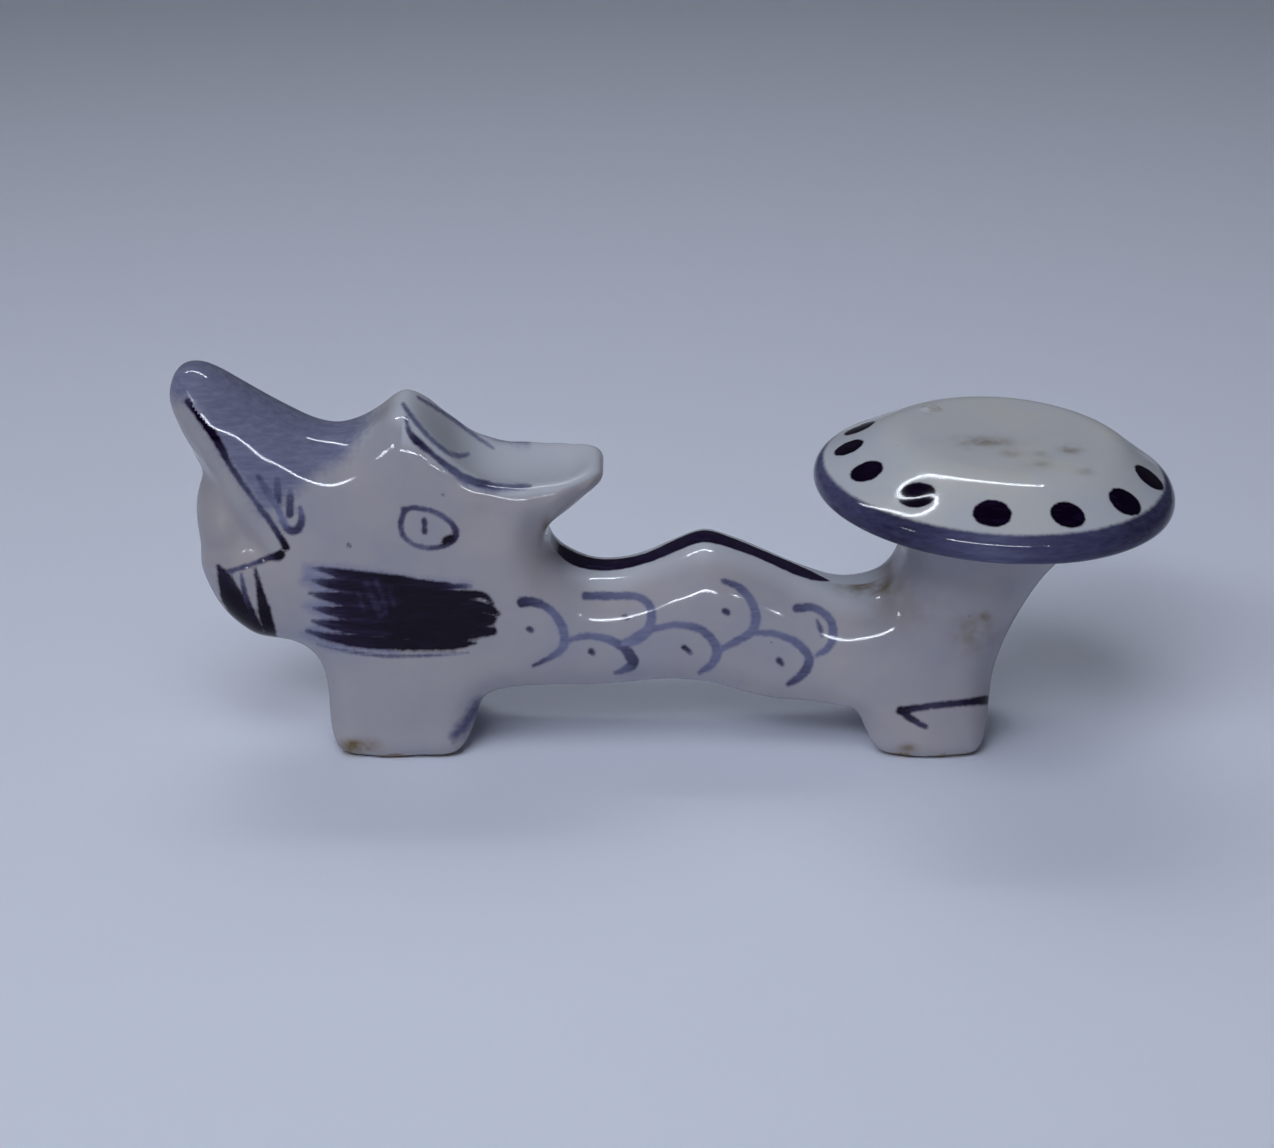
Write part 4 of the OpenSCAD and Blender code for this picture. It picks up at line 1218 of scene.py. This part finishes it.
def makeBody():
    field, low, pitch = bodyField()
    slopes = np.stack(np.gradient(field, pitch), axis=3)
    points, quads = skinOf(field, low, pitch, slopes)
    points[:, 2] = np.maximum(points[:, 2], 0)
    whole = meshFrom(points, quads, "wholeBody")
    print("body skin:", len(points), "points")
    corner, upperTip, lowerTip = lipLines()
    crestNode = frame["nodes"]["crest"].data.vertices
    start = min((v.co for v in crestNode), key=lambda p: p.x) / mm
    seamSlope = (start.z - bodyShape["neckSeam"]) / (start.x - neckX)
    seamWay = Vector((-seamSlope, 0, 1)).normalized()
    seamPlace = Vector((neckX, 0, bodyShape["neckSeam"]))
    upperWay, lowerWay = (
        Vector((tip.y - corner.y, 0, corner.x - tip.x)).normalized() for tip in (upperTip, lowerTip))
    mouthPlace = Vector((corner.x, 0, corner.y))
    right, left = Vector((1, 0, 0)), Vector((-1, 0, 0))
    up, down = Vector((0, 0, 1)), Vector((0, 0, -1))
    jawPlace, neckPlace, tailPlace = (Vector((x, 0, 0)) for x in (jawX, neckX, tailX))
    front = carve(whole, [(jawPlace, right)], "front")
    rest = carve(whole, [(jawPlace, left)], "rest")
    tail = carve(rest, [(tailPlace, left)], "tail")
    middle = carve(rest, [(tailPlace, right)], "middle")
    frontFootPlace, rearFootPlace = Vector((0, 0, frontFootZ)), Vector((0, 0, rearFootZ))
    underPlace = Vector((discTop.x, 0, discUnder(discTop.x)))
    plan = [
        ("upperJaw", "upper_jaw", "washed_porcelain", "snout", front, [(mouthPlace, -upperWay)]),
        ("mouthWeb", "mouth_web", "porcelain", "web", front, [(mouthPlace, upperWay), (mouthPlace, -lowerWay)]),
        ("lowerJaw", "lower_jaw", "porcelain", "body", front, [(mouthPlace, lowerWay)]),
        ("crestLeaf", "crest", "porcelain", "body", middle, [(seamPlace, -seamWay)], bodyShape["crestOnly"]),
        ("headBlock", "head", "porcelain", "body", middle,
         [(neckPlace, right), (seamPlace, seamWay), (frontFootPlace, down)]),
        ("trunkRoll", "trunk", "porcelain", "body", middle, [(neckPlace, left)], bodyShape["trunkOnly"]),
        ("frontFoot", "front_foot", "porcelain", "body", middle, [(neckPlace, right), (frontFootPlace, up)]),
        ("rearFoot", "rear_foot", "porcelain", "body", tail, [(rearFootPlace, up)]),
        ("tailStem", "tail_stem", "porcelain", "body", tail, [(rearFootPlace, down), (underPlace, discAxis)]),
    ]
    for name, node, slot, look, source, cuts, *keepBox in plan:
        mesh = carve(source, cuts, name, *keepBox)
        dress(mesh, field, low, pitch, slopes)
        addPiece(name, mesh, node, materials[look])
        print(name, "done:", len(mesh.polygons), "faces")
    for mesh in (whole, front, rest, tail, middle):
        bpy.data.meshes.remove(mesh)


def dress(mesh, field, low, pitch, slopes):
    # Smooth normals off the field, flat ones on the cuts, then paint
    normals = sampled(slopes, low, pitch, positionsOf(mesh))
    normals /= np.linalg.norm(normals, axis=1, keepdims=True) + 1e-9
    mesh.transform(Matrix.Scale(mm, 4))
    mesh.polygons.foreach_set("use_smooth", [True] * len(mesh.polygons))
    corners = np.empty(len(mesh.loops), np.int64)
    mesh.loops.foreach_get("vertex_index", corners)
    perCorner = normals[corners]
    caps = np.empty(len(mesh.polygons), np.int64)
    mesh.polygons.foreach_get("material_index", caps)
    sizes = np.empty(len(mesh.polygons), np.int64)
    mesh.polygons.foreach_get("loop_total", sizes)
    flat = np.empty(len(mesh.polygons) * 3)
    mesh.polygons.foreach_get("normal", flat)
    isCap = np.repeat(caps == 1, sizes)
    perCorner[isCap] = np.repeat(flat.reshape(-1, 3), sizes, axis=0)[isCap]
    mesh.polygons.foreach_set("material_index", [0] * len(mesh.polygons))
    mesh.normals_split_custom_set([tuple(n) for n in perCorner])
    paint(mesh, normals)


makeBody()
disc = makeDisc()
disc.polygons.foreach_set("use_smooth", [True] * len(disc.polygons))
paintDisc(disc)
addPiece("spoonDisc", disc, "tail_disc", materials["disc"])
print("spoonDisc done:", len(disc.polygons), "faces")


# Floor and light
stage = {
    "floorHalf": 2.5,
    "floorColor": (0.765, 0.80, 0.925, 1),
    "floorRoughness": 0.55,
    "worldColor": (0.85, 0.89, 1.0, 1),
    "worldStrength": 0.05,
    "lightColor": (0.86, 0.91, 1.0),
    "lightTarget": (0, 0, 0.017),
}
# Elevation and azimuth in degrees, distance, shift to the right, length and width in metres,
# spread in degrees, power in watts, and whether it is a reflection or lights the surfaces
lights = {
    "softOverhead": (68, -10, 0.6, 0, 0.3, 0.3, 90, 0.25, False),
    "softFront": (44, -32, 0.9, 0, 0.7, 0.2, 130, 1.4, False),
    "softBack": (50, -160, 0.6, 0, 0.5, 0.3, 60, 0.11, False),
    "frontStrip": (34, -2, 1.1, -0.05, 0.9, 0.08, 180, 20.1, True),
    "frontSpot": (33, 34, 1.2, 0, 0.05, 0.06, 180, 0.9, True),
    "leftStrip": (30, -60, 1.1, 0, 0.16, 0.08, 180, 2.0, True),
    "topStrip": (120, -6, 1.1, -0.2, 1.0, 0.05, 180, 10.0, True),
}


def makeFloor():
    mesh = bpy.data.meshes.new("floor")
    h = stage["floorHalf"]
    mesh.from_pydata([(-h, -h, 0), (h, -h, 0), (h, h, 0), (-h, h, 0)], [], [(0, 1, 2, 3)])
    floor = addObject("floor", mesh)
    material = bpy.data.materials.new("paleFloor")
    material.use_nodes = True
    shader = material.node_tree.nodes["Principled BSDF"]
    shader.inputs["Base Color"].default_value = stage["floorColor"]
    shader.inputs["Roughness"].default_value = stage["floorRoughness"]
    mesh.materials.append(material)


def addLight(name, elevation, azimuth, away, aside, length, width, spread, power, reflected):
    data = bpy.data.lights.new(name, "AREA")
    data.shape = "RECTANGLE"
    data.size = length
    data.size_y = width
    data.spread = math.radians(spread)
    data.energy = power
    data.color = stage["lightColor"]
    light = addObject(name, data)
    e, a = math.radians(elevation), math.radians(azimuth)
    target = Vector(stage["lightTarget"])
    way = Vector((math.sin(a) * math.cos(e), -math.cos(a) * math.cos(e), math.sin(e)))
    light.location = target + way * away + Vector((aside, 0, 0))
    light.rotation_euler = way.to_track_quat("Z", "Y").to_euler()
    light.visible_glossy = reflected
    light.visible_diffuse = not reflected


def makeLights():
    world = bpy.data.worlds.new("studio")
    world.use_nodes = True
    background = world.node_tree.nodes["Background"]
    background.inputs[0].default_value = stage["worldColor"]
    background.inputs[1].default_value = stage["worldStrength"]
    bpy.context.scene.world = world
    for name, values in lights.items():
        addLight(name, *values)


makeFloor()
makeLights()
print("floor and lights done:", len(lights), "lights")
bpy.context.scene.view_settings.view_transform = "Standard"
